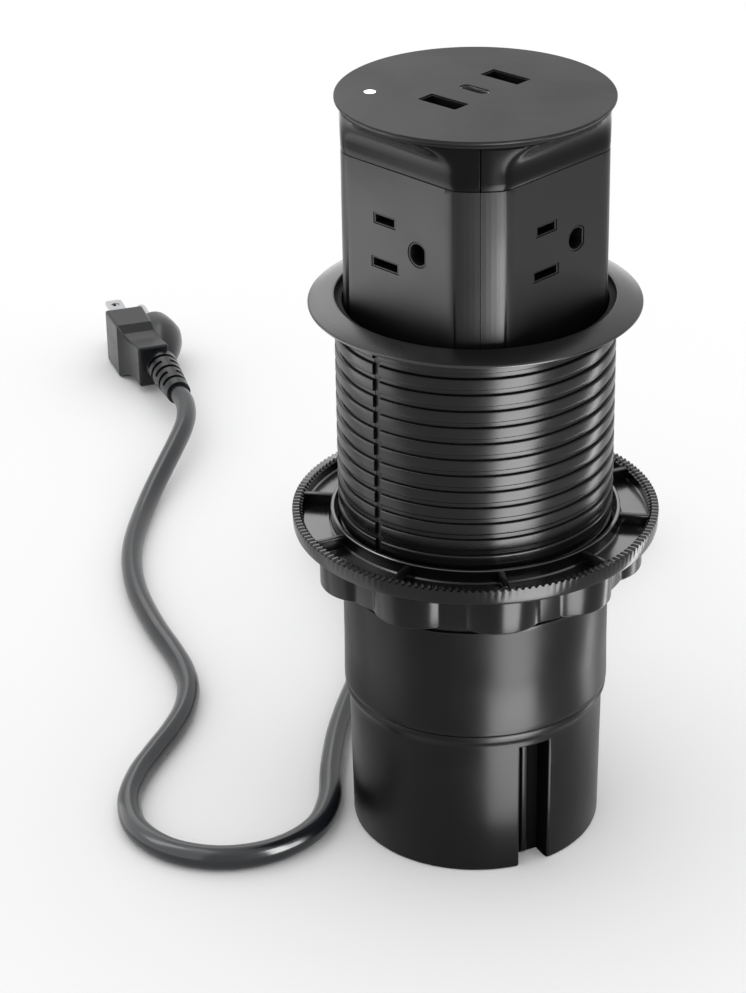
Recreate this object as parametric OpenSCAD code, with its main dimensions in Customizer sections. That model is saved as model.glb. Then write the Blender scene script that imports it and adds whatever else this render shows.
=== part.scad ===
/* [Barrel] */
// Outer diameter over the thread crests, a sliding fit in an 80 mm desk hole
barrel_d = 78.3; // [77.5:0.1:79.5]
// Depth of the clamp thread, from crest to root
thread_depth = 0.85; // [0.6:0.05:1.0]
// Rise of the clamp thread in one turn
thread_pitch = 4.85; // [4:0.05:6]
// Height of the barrel from the base cup to the underside of the desk flange
barrel_h = 118.5; // [114:0.5:130]
// Width of the keyway that runs down the thread
keyway_w = 2.3; // [2:0.1:3]
// Height at which the thread ends above the floor
thread_end_z = 80; // [78:0.5:82]

/* [Base cup] */
// Height of the base cup up to its seam with the barrel
cup_h = 46.5; // [45:0.5:50]
// Width of the cable channel in the front of the cup
channel_w = 9.5; // [8:0.25:11]
// Height of the cable channel above the floor
channel_top = 40.8; // [36:0.2:42]
// Radial depth of the cable channel
channel_depth = 7.4; // [6.5:0.1:7.6]
// Wall thickness of the moulded shells
wall = 2.4; // [2:0.1:2.6]

/* [Desk flange and cap] */
// Outer diameter of the flange that rests on the desk
flange_d = 92.8; // [90:0.2:98]
// Height of the flange at its opening, flush with the closed cap
flange_h = 2.5; // [2.5:0.1:3]
// Travel of the tower between closed and raised
rise = 57.5; // [56:0.1:57.5]
// Thickness of the round top cap
cap_t = 1.7; // [1.5:0.1:1.8]

/* [Clamp washer and nut] */
// Outer diameter of the serrated clamp washer
washer_d = 104.8; // [102:0.2:110]
// Height of the washer's rim
washer_h = 4.7; // [4.2:0.1:5.2]
// Count of the ribs in the washer and of the grip lobes on the nut
lobe_count = 10; // [8:1:12]
// Height of the lobed lock nut
nut_h = 11.5; // [10:0.1:12]
// Height of the top of the washer's rim above the floor, as it is shown
washer_top_z = 101.9; // [98:0.1:104]

/* [Outlets] */
// Distance between the two blade slots of an outlet
blade_gap = 12.7; // [12.6:0.05:12.8]
// Distance from the blade slots to the earth hole
earth_gap = 11.9; // [11.8:0.05:12]
// Length of the wide neutral slot
neutral_len = 8.8; // [8.2:0.1:9]
// Length of the narrow line slot
line_len = 6.8; // [6.4:0.1:7.2]
// Height of a blade slot
slot_h = 2.1; // [1.9:0.05:2.2]

/* [Cord and plug] */
// Diameter of the mains cord
cord_d = 7.2; // [6.8:0.1:7.2]
// Diameter of the curly lead inside
curl_d = 5.2; // [4.8:0.1:5.4]
// Length of the plug's blades
blade_len = 17.3; // [16.5:0.1:17.9]

/* [Hidden] */
$fn = 48;
eps = 0.01;
running = 0.3;
seam = 0.1;
barrel_r = barrel_d / 2;
root_r = barrel_r - thread_depth;
bore_r = barrel_r - 2.1;
neck_r = bore_r - running;
tower_r = neck_r - 0.3;
flat = tower_r - 6.15;
cap_r = bore_r + 0.95;
barrel_top = cup_h + barrel_h;
seat_z = barrel_top + 0.8;
cap_low = seat_z + 0.1 + rise;
cap_top = cap_low + cap_t;
yaw = 2;
front_channel = 27.7;
back_mouth = 160;
key_angle = -43.6;
lobe_turn = 9.7;
cup_r = root_r - 1.35;
cup_in = cup_r - 2.65;
post_r = bore_r - 5.05;
boss_r = flat - 3.5;
bus_r = 13.8;
block_in = bus_r + 0.55;
supply_s = flat - 11.3;
mouth_in = 29.55;
pad_top = cap_low - rise - 12.8;
pad_low = pad_top - 8;
foot_top = pad_low - running;
foot_t = 4;
shell_top = cap_low - 12.75;
neck_low = shell_top + seam;
neck_top = cap_low - 0.7;
outlet_z = shell_top - 21.25;
slot_s = -4.9;
board_z = shell_top - 1.75;
washer_r = washer_d / 2;
washer_low = washer_top_z - washer_h;
plate_z = washer_low - 0.4;
collar_in = barrel_r + 1.15;
nut_top = plate_z - running;
nut_low = nut_top - nut_h;
relief_z = 8.5;
block_top = 19.5;
curl_r = bore_r - 16.05;
curl_low = block_top;
curl_top = foot_top - foot_t - 0.65;
post_angles = [90, 210, 330];
face_angles = [-45, 45, 135, 225];
port_turn = -40;
coil_x = 0;
coil_y = 168;
coil_r = 48.2;
coil_pitch = 8.3;
coil_rise = 7.8;
coil_z = 4.4;
coil_from = -35;
coil_to = 205;
coil_turns = 4 + (coil_to - coil_from) / 360;
coil_climb = 0.3;
coil_rings = 24;
plug_at = [-112.6, 266, 11.2];
plug_turn = 20;

// Route of the cord from its strain relief to the coil
start_route = [
  [17.8, 48.9, 8.5], [20.3, 55.9, 8.5], [22.5, 64, 7.8], [23.9, 73.3, 6.6],
  [24.8, 83.5, 5.3], [25.5, 94, 4.5], [26.4, 104.5, 4.4], [28, 114.5, 4.4],
  [30.6, 124, 4.4], [34.5, 132.8, 4.4], [39.5, 140.4, 4.4]
];

// Route of the cord from the coil round the base and back to the plug
run_route = [
  [-43.7, 147.6, 12.2], [-41.3, 142, 12.2], [-37.9, 131.6, 11.9], [-35.6, 119.5, 10.8],
  [-34.7, 107.5, 8.6], [-34.6, 95.5, 6.2], [-35.2, 83.5, 4.5], [-36.7, 71.5, 3.8],
  [-38.8, 59.5, 3.7], [-41.1, 46.5, 3.7], [-43, 31, 3.7], [-43.9, 13, 3.7],
  [-43.9, -5.5, 3.7], [-47.9, -20.2, 3.7], [-58.8, -31.1, 3.7], [-73.8, -35.1, 3.7], [-88.8, -31.1, 3.7], [-99.7, -20.2, 3.7], [-103.7, -5.5, 3.7],
  [-102.5, 9, 3.7], [-98.8, 22, 3.7], [-94.7, 34.5, 3.7], [-91.9, 47, 3.7],
  [-91.6, 60, 3.7], [-94.3, 72.5, 3.7], [-98.9, 84.5, 3.7], [-104.3, 96.5, 3.7],
  [-109.3, 109, 3.7], [-113.7, 122, 3.7], [-117, 136, 3.7], [-118.9, 150.5, 3.7],
  [-119.2, 165, 3.7], [-118.2, 180, 3.8], [-116.2, 195.5, 5], [-113.1, 211, 7.4],
  [-110.3, 224, 9.5], [-108.3, 236.5, 10.9], [-108.1, 247.5, 11.2], [-109.6, 257.6, 11.2],
  [-112.6, 266, 11.2]
];

// A unit vector
function unit(v) = v / norm(v);

// One point on a smooth curve through four points
function curve(a, b, c, d, t) =
  0.5 * (2 * b + (c - a) * t + (2 * a - 5 * b + 4 * c - d) * t * t
  + (3 * b - a - 3 * c + d) * t * t * t);

// A route made finer, with n steps between its points
function finer(p, n) = [
  for (i = [0 : len(p) - 2], k = [0 : n - 1])
    curve(i == 0 ? 2 * p[0] - p[1] : p[i - 1], p[i], p[i + 1],
      i == len(p) - 2 ? 2 * p[i + 1] - p[i] : p[i + 2], k / n),
  p[len(p) - 1]
];

// Direction of a route at its point i
function heading(p, i) =
  i == 0 ? unit(p[1] - p[0])
  : i == len(p) - 1 ? unit(p[i] - p[i - 1])
  : unit(p[i + 1] - p[i - 1]);

// Sideways vector of a ring
function side(h, up) = unit(cross(h, up));

// Points of a tube of radius r and n sides along a route
function tube_points(p, r, n, up) = [
  for (i = [0 : len(p) - 1])
    let (h = heading(p, i), s = side(h, up), u = cross(s, h))
    for (k = [0 : n - 1])
      p[i] + r * (cos(360 * k / n) * s + sin(360 * k / n) * u)
];

// Triangles of the tube's wall and of its two ends
function tube_faces(m, n) = concat(
  [for (i = [0 : m - 2], k = [0 : n - 1])
    [i * n + k, i * n + (k + 1) % n, (i + 1) * n + k]],
  [for (i = [0 : m - 2], k = [0 : n - 1])
    [i * n + (k + 1) % n, (i + 1) * n + (k + 1) % n, (i + 1) * n + k]],
  [for (k = [1 : n - 2]) [0, k + 1, k]],
  [for (k = [1 : n - 2]) [(m - 1) * n, (m - 1) * n + k, (m - 1) * n + k + 1]]
);

// Radius of the coil after t turns
function coil_radius(t, a) =
  t < a ? coil_r - coil_pitch * t
  : t < a + coil_climb ? coil_r - coil_pitch * a
  : coil_r - coil_pitch * (2 * a + coil_climb - t);

// Height of the coil after t turns
function coil_height(t, a) =
  let (u = min(1, max(0, (t - a) / coil_climb)))
  coil_z + coil_rise * u * u * (3 - 2 * u);

// Centre line of the coil, in along the floor and out on top
function coil_route() =
  let (a = (coil_turns - coil_climb) / 2, n = round(coil_turns * coil_rings), e = 0.004)
  [for (t = [0, e, for (i = [1 : n - 1]) coil_turns * i / n, coil_turns - e, coil_turns])
    let (w = coil_from + 360 * t, r = coil_radius(t, a))
    [coil_x + r * cos(w), coil_y + r * sin(w), coil_height(t, a)]];

// Centre line of the curly lead, upright at both ends
function curl_route() = [
  for (i = [0 : 64])
    let (t = i / 64, s = t - sin(360 * t) / (2 * PI), w = -20 + 1192 * s)
    [curl_r * sin(w), -curl_r * cos(w), curl_low + (curl_top - curl_low) * t]
];

coil_path = coil_route();
coil_gap = min([
  for (i = [0 : len(coil_path) - 1], j = [i + 6 : 1 : len(coil_path) - 1])
    norm(coil_path[i] - coil_path[j])
]) - cord_d;
echo(coil_least_gap_mm = coil_gap);
start_fine = finer(start_route, 2);
run_fine = finer(run_route, 2);

// Outline of the tower, drawn in by some amount
module tower2d(inset) {
  intersection() {
    circle(r = tower_r - inset, $fn = 72);
    rotate(45) square(2 * (flat - inset), center = true);
  }
}

// Outline of the lock nut's grip
module lobes2d(r_base, r_lobe) {
  circle(r = r_base, $fn = 72);
  for (i = [0 : lobe_count - 1]) {
    rotate(lobe_turn + i * 360 / lobe_count) translate([0, -barrel_r - 0.45]) circle(r = r_lobe, $fn = 30);
  }
}

// Earth hole, round towards the blades and flat on its far side
module earth2d(w, h) {
  intersection() {
    translate([-w / 2 + h / 2, 0]) circle(d = h, $fn = 28);
    translate([-w / 2, -h / 2]) square([w, h]);
  }
}

// A rounded slot outline for the small port
module stadium2d(w, h) {
  for (x = [-1, 1]) {
    translate([x * (w - h) / 2, 0]) circle(d = h, $fn = 20);
  }
  square([w - h, h], center = true);
}

// Places children at each of the ports on the cap
module at_ports(y) {
  translate([-0.2, 2.7, 0]) rotate([0, 0, port_turn]) translate([0, y, 0]) children();
}

// Cup that closes the barrel and stands on the floor
module base_cup() {
  color([0.07, 0.07, 0.075])
  difference() {
    union() {
      rotate_extrude($fn = 96)
        polygon([
          [0, 0], [cup_r - 1.25, 0], [cup_r - 0.75, 0.25], [cup_r - 0.5, 1],
          [cup_r, cup_h - 9.5], [cup_r + 0.05, cup_h - 3.5], [cup_r + 0.25, cup_h - 2.4],
          [cup_r + 0.7, cup_h - 1.3], [root_r, cup_h - 0.4], [root_r, cup_h],
          [cup_r, cup_h], [cup_r, cup_h + 10], [cup_r - 0.4, cup_h + 10.4],
          [cup_in, cup_h + 10.4], [cup_in, 2.6], [0, 2.6]
        ]);
      rotate([0, 0, front_channel])
        translate([-channel_w / 2 - 2, -cup_in - 0.6, 0])
        cube([channel_w + 4, channel_depth, channel_top + 2]);
      rotate([0, 0, back_mouth])
        translate([-9.2, -cup_in - 0.6, 0])
        cube([18.4, cup_in - mouth_in + 2.65, 19.5]);
      for (a = post_angles) {
        rotate([0, 0, a]) translate([0, -post_r, 0]) cylinder(r = 3.6, h = cup_h + 10.4, $fn = 28);
      }
      rotate([0, 0, back_mouth]) translate([-5, -20, 1]) cube([10, 8, 6]);
      for (x = [-9, 9]) {
        rotate([0, 0, back_mouth]) translate([x, -16, 1]) cylinder(r = 2.9, h = 7, $fn = 24);
      }
    }
    rotate([0, 0, front_channel])
      translate([-channel_w / 2, -cup_r - 10, -1])
      cube([channel_w, channel_depth + 10, channel_top + 1]);
    rotate([0, 0, back_mouth])
      translate([-7.25, -cup_r - 10, -1])
      cube([14.5, cup_r + 10 - mouth_in, 18.5]);
    rotate([0, 0, back_mouth])
      translate([0, -20, relief_z])
      rotate([90, 0, 0])
      cylinder(r = 5.8, h = 12, $fn = 36);
    rotate([0, 0, back_mouth])
      translate([0, -8, relief_z])
      rotate([90, 0, 0])
      cylinder(r = cord_d / 2 + 0.1, h = 14, $fn = 28);
    for (a = post_angles) {
      rotate([0, 0, a]) translate([0, -post_r, -1]) cylinder(r = 1.7, h = cup_h + 14, $fn = 20);
      rotate([0, 0, a]) translate([0, -post_r, -1]) cylinder(r = 3, h = 5, $fn = 24);
    }
    for (x = [-9, 9]) {
      rotate([0, 0, back_mouth]) translate([x, -16, 3]) cylinder(r = 1.45, h = 7, $fn = 20);
    }
  }
}

// Threaded barrel with its keyway, guide pads and screw bosses
module barrel() {
  color([0.075, 0.075, 0.08])
  difference() {
    union() {
      rotate_extrude($fn = 96)
        polygon([
          [bore_r, cup_h + seam], [root_r + 0.15, cup_h + seam], [root_r + 0.15, cup_h + 4.5],
          [root_r, cup_h + 4.8], [root_r, thread_end_z - 0.5],
          [barrel_r, thread_end_z + 0.35], [barrel_r, barrel_top], [root_r, barrel_top],
          [root_r, seat_z], [bore_r, seat_z]
        ]);
      translate([0, 0, pad_low])
        linear_extrude(8)
        rotate(yaw)
        difference() {
          circle(r = bore_r + 0.4, $fn = 96);
          rotate(45) square(2 * (flat + 0.35), center = true);
        }
      for (a = post_angles) {
        rotate([0, 0, a]) translate([0, -post_r, cup_h + 10.7]) cylinder(r = 3.6, h = 14, $fn = 28);
        rotate([0, 0, a])
          translate([-2.5, -bore_r - 0.5, cup_h + 10.7])
          cube([5, 5.5, 14]);
      }
    }
    rotate([0, 0, key_angle])
      translate([-keyway_w / 2, -barrel_r - 2, thread_end_z - 2])
      cube([keyway_w, thread_depth + 2, barrel_top - thread_end_z + 1.9]);
    for (a = post_angles) {
      rotate([0, 0, a]) translate([0, -post_r, cup_h + 9]) cylinder(r = 1.45, h = 13, $fn = 20);
    }
    for (a = [-45, 135]) {
      rotate([0, 0, yaw + a])
        translate([-6.2, -flat - 3.6, pad_low + 1.4])
        cube([12.4, 5, 5.2]);
    }
  }
}

// Ring that rests on the desk and takes the cap flush
module desk_flange() {
  f = flange_d / 2;
  o = cap_r + 1;
  color([0.1, 0.1, 0.105])
  rotate_extrude($fn = 96)
    polygon([
      [root_r + 0.05, barrel_top + seam], [barrel_r + 0.1, barrel_top + seam],
      [barrel_r + 0.1, barrel_top], [f - 0.3, barrel_top], [f, barrel_top + 0.2],
      [f, barrel_top + 0.6], [f - 0.3, barrel_top + 0.85], [f - 1.6, barrel_top + 1.3],
      [f - 4.5, barrel_top + flange_h - 0.5], [o + 0.3, barrel_top + flange_h],
      [o, barrel_top + flange_h - 0.2], [o, seat_z], [root_r + 0.05, seat_z]
    ]);
}

// Long screws that hold the cup to the barrel
module base_screws() {
  color([0.55, 0.56, 0.58])
  for (a = post_angles) {
    rotate([0, 0, a]) translate([0, -post_r, 3.9]) {
      cylinder(r = 1.4, h = cup_h + 14, $fn = 18);
      translate([0, 0, -2.4])
        difference() {
          cylinder(r = 2.7, h = 2.5, $fn = 24);
          translate([-2, -0.4, -1]) cube([4, 0.8, 1.9]);
          translate([-0.4, -2, -1]) cube([0.8, 4, 1.9]);
        }
    }
  }
}

// Tapered bush that guards the cord where it leaves the cup
module strain_relief() {
  color([0.06, 0.06, 0.065])
  rotate([0, 0, back_mouth])
  translate([0, -25.4, relief_z])
  rotate([90, 0, 0])
  difference() {
    union() {
      cylinder(r = 7.4, h = 2, $fn = 36);
      cylinder(r = 5.6, h = 5, $fn = 36);
      translate([0, 0, 4.2]) cylinder(r1 = 6.3, r2 = 4.7, h = 22.38, $fn = 36);
    }
    translate([-8, -8, -1]) cube([16, 2.2, 3.1]);
    for (k = [0 : 4]) {
      translate([0, 0, 8 + 3.4 * k])
        difference() {
          cylinder(r = 8, h = 1.2, $fn = 24);
          translate([0, 0, -1]) cylinder(r = 4.2, h = 4, $fn = 24);
          translate([-8, -1.1, -1]) cube([16, 2.2, 4]);
        }
    }
  }
}

// Saddle that grips the cord inside the cup
module cord_clamp() {
  color([0.85, 0.85, 0.83])
  rotate([0, 0, back_mouth])
  difference() {
    translate([-12.2, -19.6, 8.05]) cube([24.4, 7.2, 6]);
    translate([0, -8, relief_z]) rotate([90, 0, 0]) cylinder(r = cord_d / 2 + 0.1, h = 14, $fn = 28);
    for (x = [-9, 9]) {
      translate([x, -16, 7]) cylinder(r = 1.7, h = 9, $fn = 20);
    }
  }
}

// Screws of the cord clamp
module clamp_screws() {
  color([0.75, 0.76, 0.78])
  rotate([0, 0, back_mouth])
  for (x = [-9, 9]) {
    translate([x, -16, 3.4])
      difference() {
        union() {
          cylinder(r = 1.4, h = 11, $fn = 18);
          translate([0, 0, 10.7]) cylinder(r = 2.8, h = 2, $fn = 24);
        }
        translate([-2, -0.4, 11.7]) cube([4, 0.8, 2]);
      }
  }
}

// Three way block that joins the cord to the curly lead
module terminal_block() {
  color([0.86, 0.86, 0.84])
  rotate([0, 0, back_mouth])
  difference() {
    translate([-9, -4.8, 2.65]) cube([18, post_r - 2, block_top - 2.65]);
    for (x = [-6, 0, 6], y = [0, 12]) {
      translate([x, y, 13]) cylinder(r = 2, h = 9, $fn = 20);
    }
    for (x = [-3, 3]) {
      translate([x - 0.5, -6, 14]) cube([1, 19.5, 8]);
    }
  }
}

// Brass screws of the block
module terminal_screws() {
  color([0.8, 0.65, 0.3])
  rotate([0, 0, back_mouth])
  for (x = [-6, 0, 6], y = [0, 12]) {
    translate([x, y, 13.05])
      difference() {
        cylinder(r = 1.85, h = 3.4, $fn = 20);
        translate([-2.5, -0.35, 2.6]) cube([5, 0.7, 2]);
      }
  }
}

// End of the mains cord inside the cup
module lead_tail() {
  color([0.05, 0.05, 0.055])
  rotate([0, 0, back_mouth])
  translate([0, -4.8, relief_z])
  rotate([90, 0, 0])
  cylinder(r = cord_d / 2, h = 20.6, $fn = 28);
}

// Curly lead that follows the tower
module lead_curl() {
  p = curl_route();
  color([0.9, 0.9, 0.88])
  polyhedron(
    points = [for (i = [0 : len(p) - 1])
      let (h = heading(p, i), o = unit([p[i][0], p[i][1], 0]), u = unit(cross(h, o)), s = cross(u, h))
      for (k = [0 : 5]) p[i] + curl_d / 2 * (cos(60 * k) * s + sin(60 * k) * u)],
    faces = tube_faces(len(p), 6));
}

// Leaf springs in the guide pads that hold the raised tower
module hold_springs() {
  color([0.7, 0.72, 0.74])
  for (a = [-45, 135]) {
    rotate([0, 0, yaw + a])
      translate([0, -flat, pad_low + 1.8])
      linear_extrude(4.4)
      polygon([
        [-5.8, -3.5], [-5.8, -3.1], [-3.9, -3.1], [-1.6, -0.35], [1.6, -0.35],
        [3.9, -3.1], [5.8, -3.1], [5.8, -3.5], [3.6, -3.5], [1.3, -0.8],
        [-1.3, -0.8], [-3.6, -3.5]
      ]);
  }
}

// Serrated washer that bears on the underside of the desk
module clamp_washer() {
  color([0.07, 0.07, 0.075])
  union() {
    rotate_extrude($fn = 96)
      polygon([
        [collar_in, plate_z], [washer_r - 1.4, plate_z], [washer_r - 0.3, washer_low],
        [washer_r, washer_low + 0.6], [washer_r, washer_top_z - 0.3],
        [washer_r - 0.3, washer_top_z], [washer_r - 2.9, washer_top_z],
        [washer_r - 2.9, plate_z + 1.3], [collar_in + 1.1, plate_z + 1.3],
        [collar_in + 1.1, washer_top_z], [collar_in, washer_top_z]
      ]);
    for (i = [0 : lobe_count - 1]) {
      rotate([0, 0, lobe_turn + i * 360 / lobe_count])
        translate([-1, -washer_r + 2.5, plate_z + 1])
        cube([2, washer_r - 3.4 - collar_in, washer_h - 1.2]);
    }
    rotate([0, 0, key_angle])
      translate([-keyway_w / 2 + 0.3, -collar_in - 0.4, plate_z + 0.2])
      cube([keyway_w - 0.6, collar_in - root_r - running + 0.4, washer_h]);
  }
}

// Lobed nut that drives the washer up the thread
module lock_nut() {
  color([0.07, 0.07, 0.075])
  difference() {
    translate([0, 0, nut_low]) linear_extrude(nut_h) lobes2d(barrel_r + 5.35, 8.4);
    translate([0, 0, nut_low - 1]) cylinder(r = barrel_r + running, h = nut_h + 2, $fn = 96);
    translate([0, 0, nut_low - 1])
      linear_extrude(nut_h - 1)
      difference() {
        union() {
          for (i = [0 : lobe_count - 1]) {
            rotate(lobe_turn + i * 360 / lobe_count)
              translate([0, -barrel_r - 0.45])
              circle(r = 6, $fn = 24);
          }
        }
        circle(r = barrel_r + 2.8, $fn = 72);
      }
  }
}

// Disc under the tower that stops it at the top
module tower_foot() {
  color([0.08, 0.08, 0.085])
  difference() {
    union() {
      translate([0, 0, foot_top - foot_t]) cylinder(r = neck_r, h = foot_t, $fn = 96);
      translate([0, 0, foot_top - eps])
        linear_extrude(2.8)
        rotate(yaw)
        difference() {
          tower2d(wall + 0.3);
          tower2d(wall + 2);
        }
      for (a = face_angles) {
        rotate([0, 0, yaw + a])
          translate([0, -supply_s + 2, foot_top - eps])
          cylinder(r = 1.8, h = 5.4, $fn = 20);
      }
    }
    for (a = [-25, 25, 155, 205]) {
      rotate([0, 0, yaw + a]) translate([0, -boss_r, foot_top - 6]) cylinder(r = 1.7, h = 12, $fn = 20);
      rotate([0, 0, yaw + a])
        translate([0, -boss_r, foot_top - foot_t - 1])
        cylinder(r = 2.9, h = 2.8, $fn = 24);
      rotate([0, 0, yaw + a]) translate([0, -boss_r, foot_top]) cylinder(r = 3.5, h = 4, $fn = 24);
    }
    rotate([0, 0, 92]) translate([0, -curl_r, foot_top - 6]) cylinder(r = 4.2, h = 12, $fn = 28);
  }
}

// Screws that hold the shells on the foot
module foot_screws() {
  color([0.6, 0.61, 0.63])
  for (a = [-25, 25, 155, 205]) {
    rotate([0, 0, yaw + a]) translate([0, -boss_r, foot_top - foot_t + 0.2])
      difference() {
        union() {
          cylinder(r = 2.7, h = 1.5, $fn = 24);
          cylinder(r = 1.3, h = 13, $fn = 18);
        }
        translate([-2, -0.4, -1]) cube([4, 0.8, 1.8]);
      }
  }
}

// Rubber grommet where the curly lead enters the foot
module lead_grommet() {
  color([0.12, 0.12, 0.12])
  rotate([0, 0, 92])
  translate([0, -curl_r, foot_top - foot_t - 0.6])
  union() {
    cylinder(r = 5.6, h = 0.6, $fn = 28);
    cylinder(r = 4.1, h = foot_t + 1.2, $fn = 28);
    translate([0, 0, foot_t + 0.6]) cylinder(r = 5.2, h = 1.2, $fn = 28);
  }
}

// Half of the tower's shell, k is -1 for the left and 1 for the right
module half_shell(k) {
  color([0.075, 0.075, 0.08])
  rotate([0, 0, yaw])
  difference() {
    union() {
      translate([0, 0, foot_top + 0.02])
        linear_extrude(shell_top - foot_top - 0.02)
        difference() {
          tower2d(0);
          tower2d(wall);
        }
      for (a = [-25, 25, 155, 205]) {
        rotate([0, 0, a]) translate([0, -boss_r, foot_top + 0.02]) cylinder(r = 3.2, h = 19, $fn = 24);
      }
    }
    translate([k > 0 ? seam / 2 - 80 : -seam / 2, -50, foot_top - 1]) cube([80, 100, 90]);
    for (a = [-25, 25, 155, 205]) {
      rotate([0, 0, a]) translate([0, -boss_r, foot_top - 1]) cylinder(r = 1.35, h = 16, $fn = 18);
    }
    for (a = face_angles) {
      rotate([0, 0, a]) translate([0, -flat + wall + 1, outlet_z]) rotate([90, 0, 0]) {
        translate([0, 0, -1])
          linear_extrude(wall + 4)
          union() {
            translate([slot_s, blade_gap / 2]) square([line_len + 1.4, slot_h + 1.1], center = true);
            translate([slot_s, -blade_gap / 2]) square([neutral_len + 1.4, slot_h + 1.1], center = true);
            translate([slot_s + earth_gap, 0]) earth2d(6.7, 7.4);
          }
      }
    }
  }
}

// Half of the neck above the seam, with coves that sweep out to the round cap
module half_neck(k) {
  color([0.08, 0.08, 0.085])
  rotate([0, 0, yaw])
  difference() {
    translate([0, 0, neck_low]) cylinder(r1 = neck_r - 0.1, r2 = neck_r, h = neck_top - neck_low, $fn = 96);
    translate([0, 0, neck_low - 1]) linear_extrude(20) tower2d(wall);
    for (a = face_angles) {
      rotate([0, 0, a])
        translate([-40, -flat - 9, neck_low])
        rotate([0, 90, 0])
        cylinder(r = 9, h = 80, $fn = 60);
    }
    translate([k > 0 ? seam / 2 - 80 : -seam / 2, -50, neck_low - 1]) cube([80, 100, 30]);
  }
}

module shell_left() {
  half_shell(-1);
}

module shell_right() {
  half_shell(1);
}

module neck_left() {
  half_neck(-1);
}

module neck_right() {
  half_neck(1);
}

// Soft ring between the neck and the cap
module cap_seal() {
  color([0.03, 0.03, 0.03])
  translate([0, 0, neck_top + 0.02])
  difference() {
    cylinder(r = neck_r - 0.1, h = cap_low - neck_top - 0.04, $fn = 96);
    translate([0, 0, -1]) cylinder(r = neck_r - 2, h = 4, $fn = 96);
  }
}

// Round cap with its port openings
module top_cap() {
  color([0.1, 0.1, 0.105])
  difference() {
    union() {
      rotate_extrude($fn = 96)
        polygon([
          [0, cap_low], [cap_r - 0.9, cap_low], [cap_r, cap_low + 0.9],
          [cap_r, cap_top - 0.15], [cap_r - 0.15, cap_top], [0, cap_top]
        ]);
      translate([0, 0, cap_low - 3])
        linear_extrude(3 + eps)
        rotate(yaw)
        difference() {
          tower2d(wall + 0.3);
          tower2d(wall + 1.9);
        }
    }
    for (y = [-12.95, 12.95]) {
      at_ports(y) translate([-6.45, -2.85, cap_low - 1]) cube([12.9, 5.7, cap_t + 2]);
    }
    at_ports(0) translate([0, 0, cap_low - 1]) linear_extrude(cap_t + 2) stadium2d(9.3, 3.6);
    translate([-28.25, 0.7, cap_low - 4]) cylinder(r = 1.7, h = cap_t + 6, $fn = 24);
  }
}

// Receptacle block behind one face of the tower
module outlet(a) {
  color([0.05, 0.05, 0.055])
  rotate([0, 0, yaw + a])
  difference() {
    union() {
      translate([-13, -flat + wall + 0.25, outlet_z - 11])
        cube([26, flat - wall - 0.25 - block_in, 22]);
      translate([0, -flat + wall + 0.3, outlet_z]) rotate([90, 0, 0])
        linear_extrude(wall + 0.15)
        union() {
          translate([slot_s, blade_gap / 2]) square([line_len + 1.2, slot_h + 0.9], center = true);
          translate([slot_s, -blade_gap / 2]) square([neutral_len + 1.2, slot_h + 0.9], center = true);
          translate([slot_s + earth_gap, 0]) earth2d(6.5, 7.2);
        }
      for (x = [-8, 8]) {
        translate([x, -20, outlet_z + 11 - eps]) cylinder(r = 2.2, h = board_z - outlet_z - 11, $fn = 20);
      }
    }
    translate([0, -flat + 12, outlet_z]) rotate([90, 0, 0]) linear_extrude(16) {
      translate([slot_s, blade_gap / 2]) square([line_len, slot_h], center = true);
      translate([slot_s, -blade_gap / 2]) square([neutral_len, slot_h], center = true);
      translate([slot_s + earth_gap, 0]) earth2d(5.3, 5.9);
    }
    for (z = [-blade_gap / 2, blade_gap / 2]) {
      translate([slot_s - 5, -flat + 5.8, outlet_z + z - 2.6]) cube([10, flat - 4.5 - bus_r, 5.2]);
    }
    translate([slot_s + earth_gap - 4.4, -flat + 5.8, outlet_z - 3.4]) cube([8.8, flat - 4.5 - bus_r, 6.8]);
  }
}

module outlet_1() {
  outlet(-45);
}

module outlet_2() {
  outlet(45);
}

module outlet_3() {
  outlet(135);
}

module outlet_4() {
  outlet(225);
}

// Four pairs of contact leaves on one square bus
module contacts(z, s, w, g) {
  for (a = face_angles) {
    rotate([0, 0, yaw + a]) {
      for (k = [-1, 1]) {
        translate([s - w / 2, -flat + 6, z + k * g - 0.35]) cube([w, flat - 5.9 - bus_r, 0.7]);
      }
      translate([s - w / 2, -bus_r - 0.6, z - g - 0.35]) cube([w, 0.9, 2 * g + 0.7]);
    }
  }
  rotate([0, 0, yaw + 45])
    translate([0, 0, z - 2])
    linear_extrude(4)
    difference() {
      square(2 * bus_r, center = true);
      square(2 * (bus_r - 0.8), center = true);
    }
}

module line_contacts() {
  color([0.8, 0.62, 0.3]) contacts(outlet_z + blade_gap / 2, slot_s, line_len - 0.4, 1.5);
}

module neutral_contacts() {
  color([0.8, 0.62, 0.3]) contacts(outlet_z - blade_gap / 2, slot_s, neutral_len - 0.4, 1.5);
}

module earth_contacts() {
  color([0.8, 0.62, 0.3]) contacts(outlet_z, slot_s + earth_gap, 6, 2.6);
}

// Three wires that rise from the supply board to the buses
module feed_wires() {
  b = bus_r - 0.8 - 1.25;
  color([0.15, 0.35, 0.2])
  rotate([0, 0, yaw + 45]) {
    translate([-b, 0, foot_top + 7])
      cylinder(r = 1.2, h = outlet_z - foot_top - 7 + blade_gap / 2, $fn = 16);
    translate([0, b, foot_top + 7]) cylinder(r = 1.2, h = outlet_z - foot_top - 7 - blade_gap / 2, $fn = 16);
    translate([b, 0, foot_top + 7]) cylinder(r = 1.2, h = outlet_z - foot_top - 7, $fn = 16);
  }
}

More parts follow.
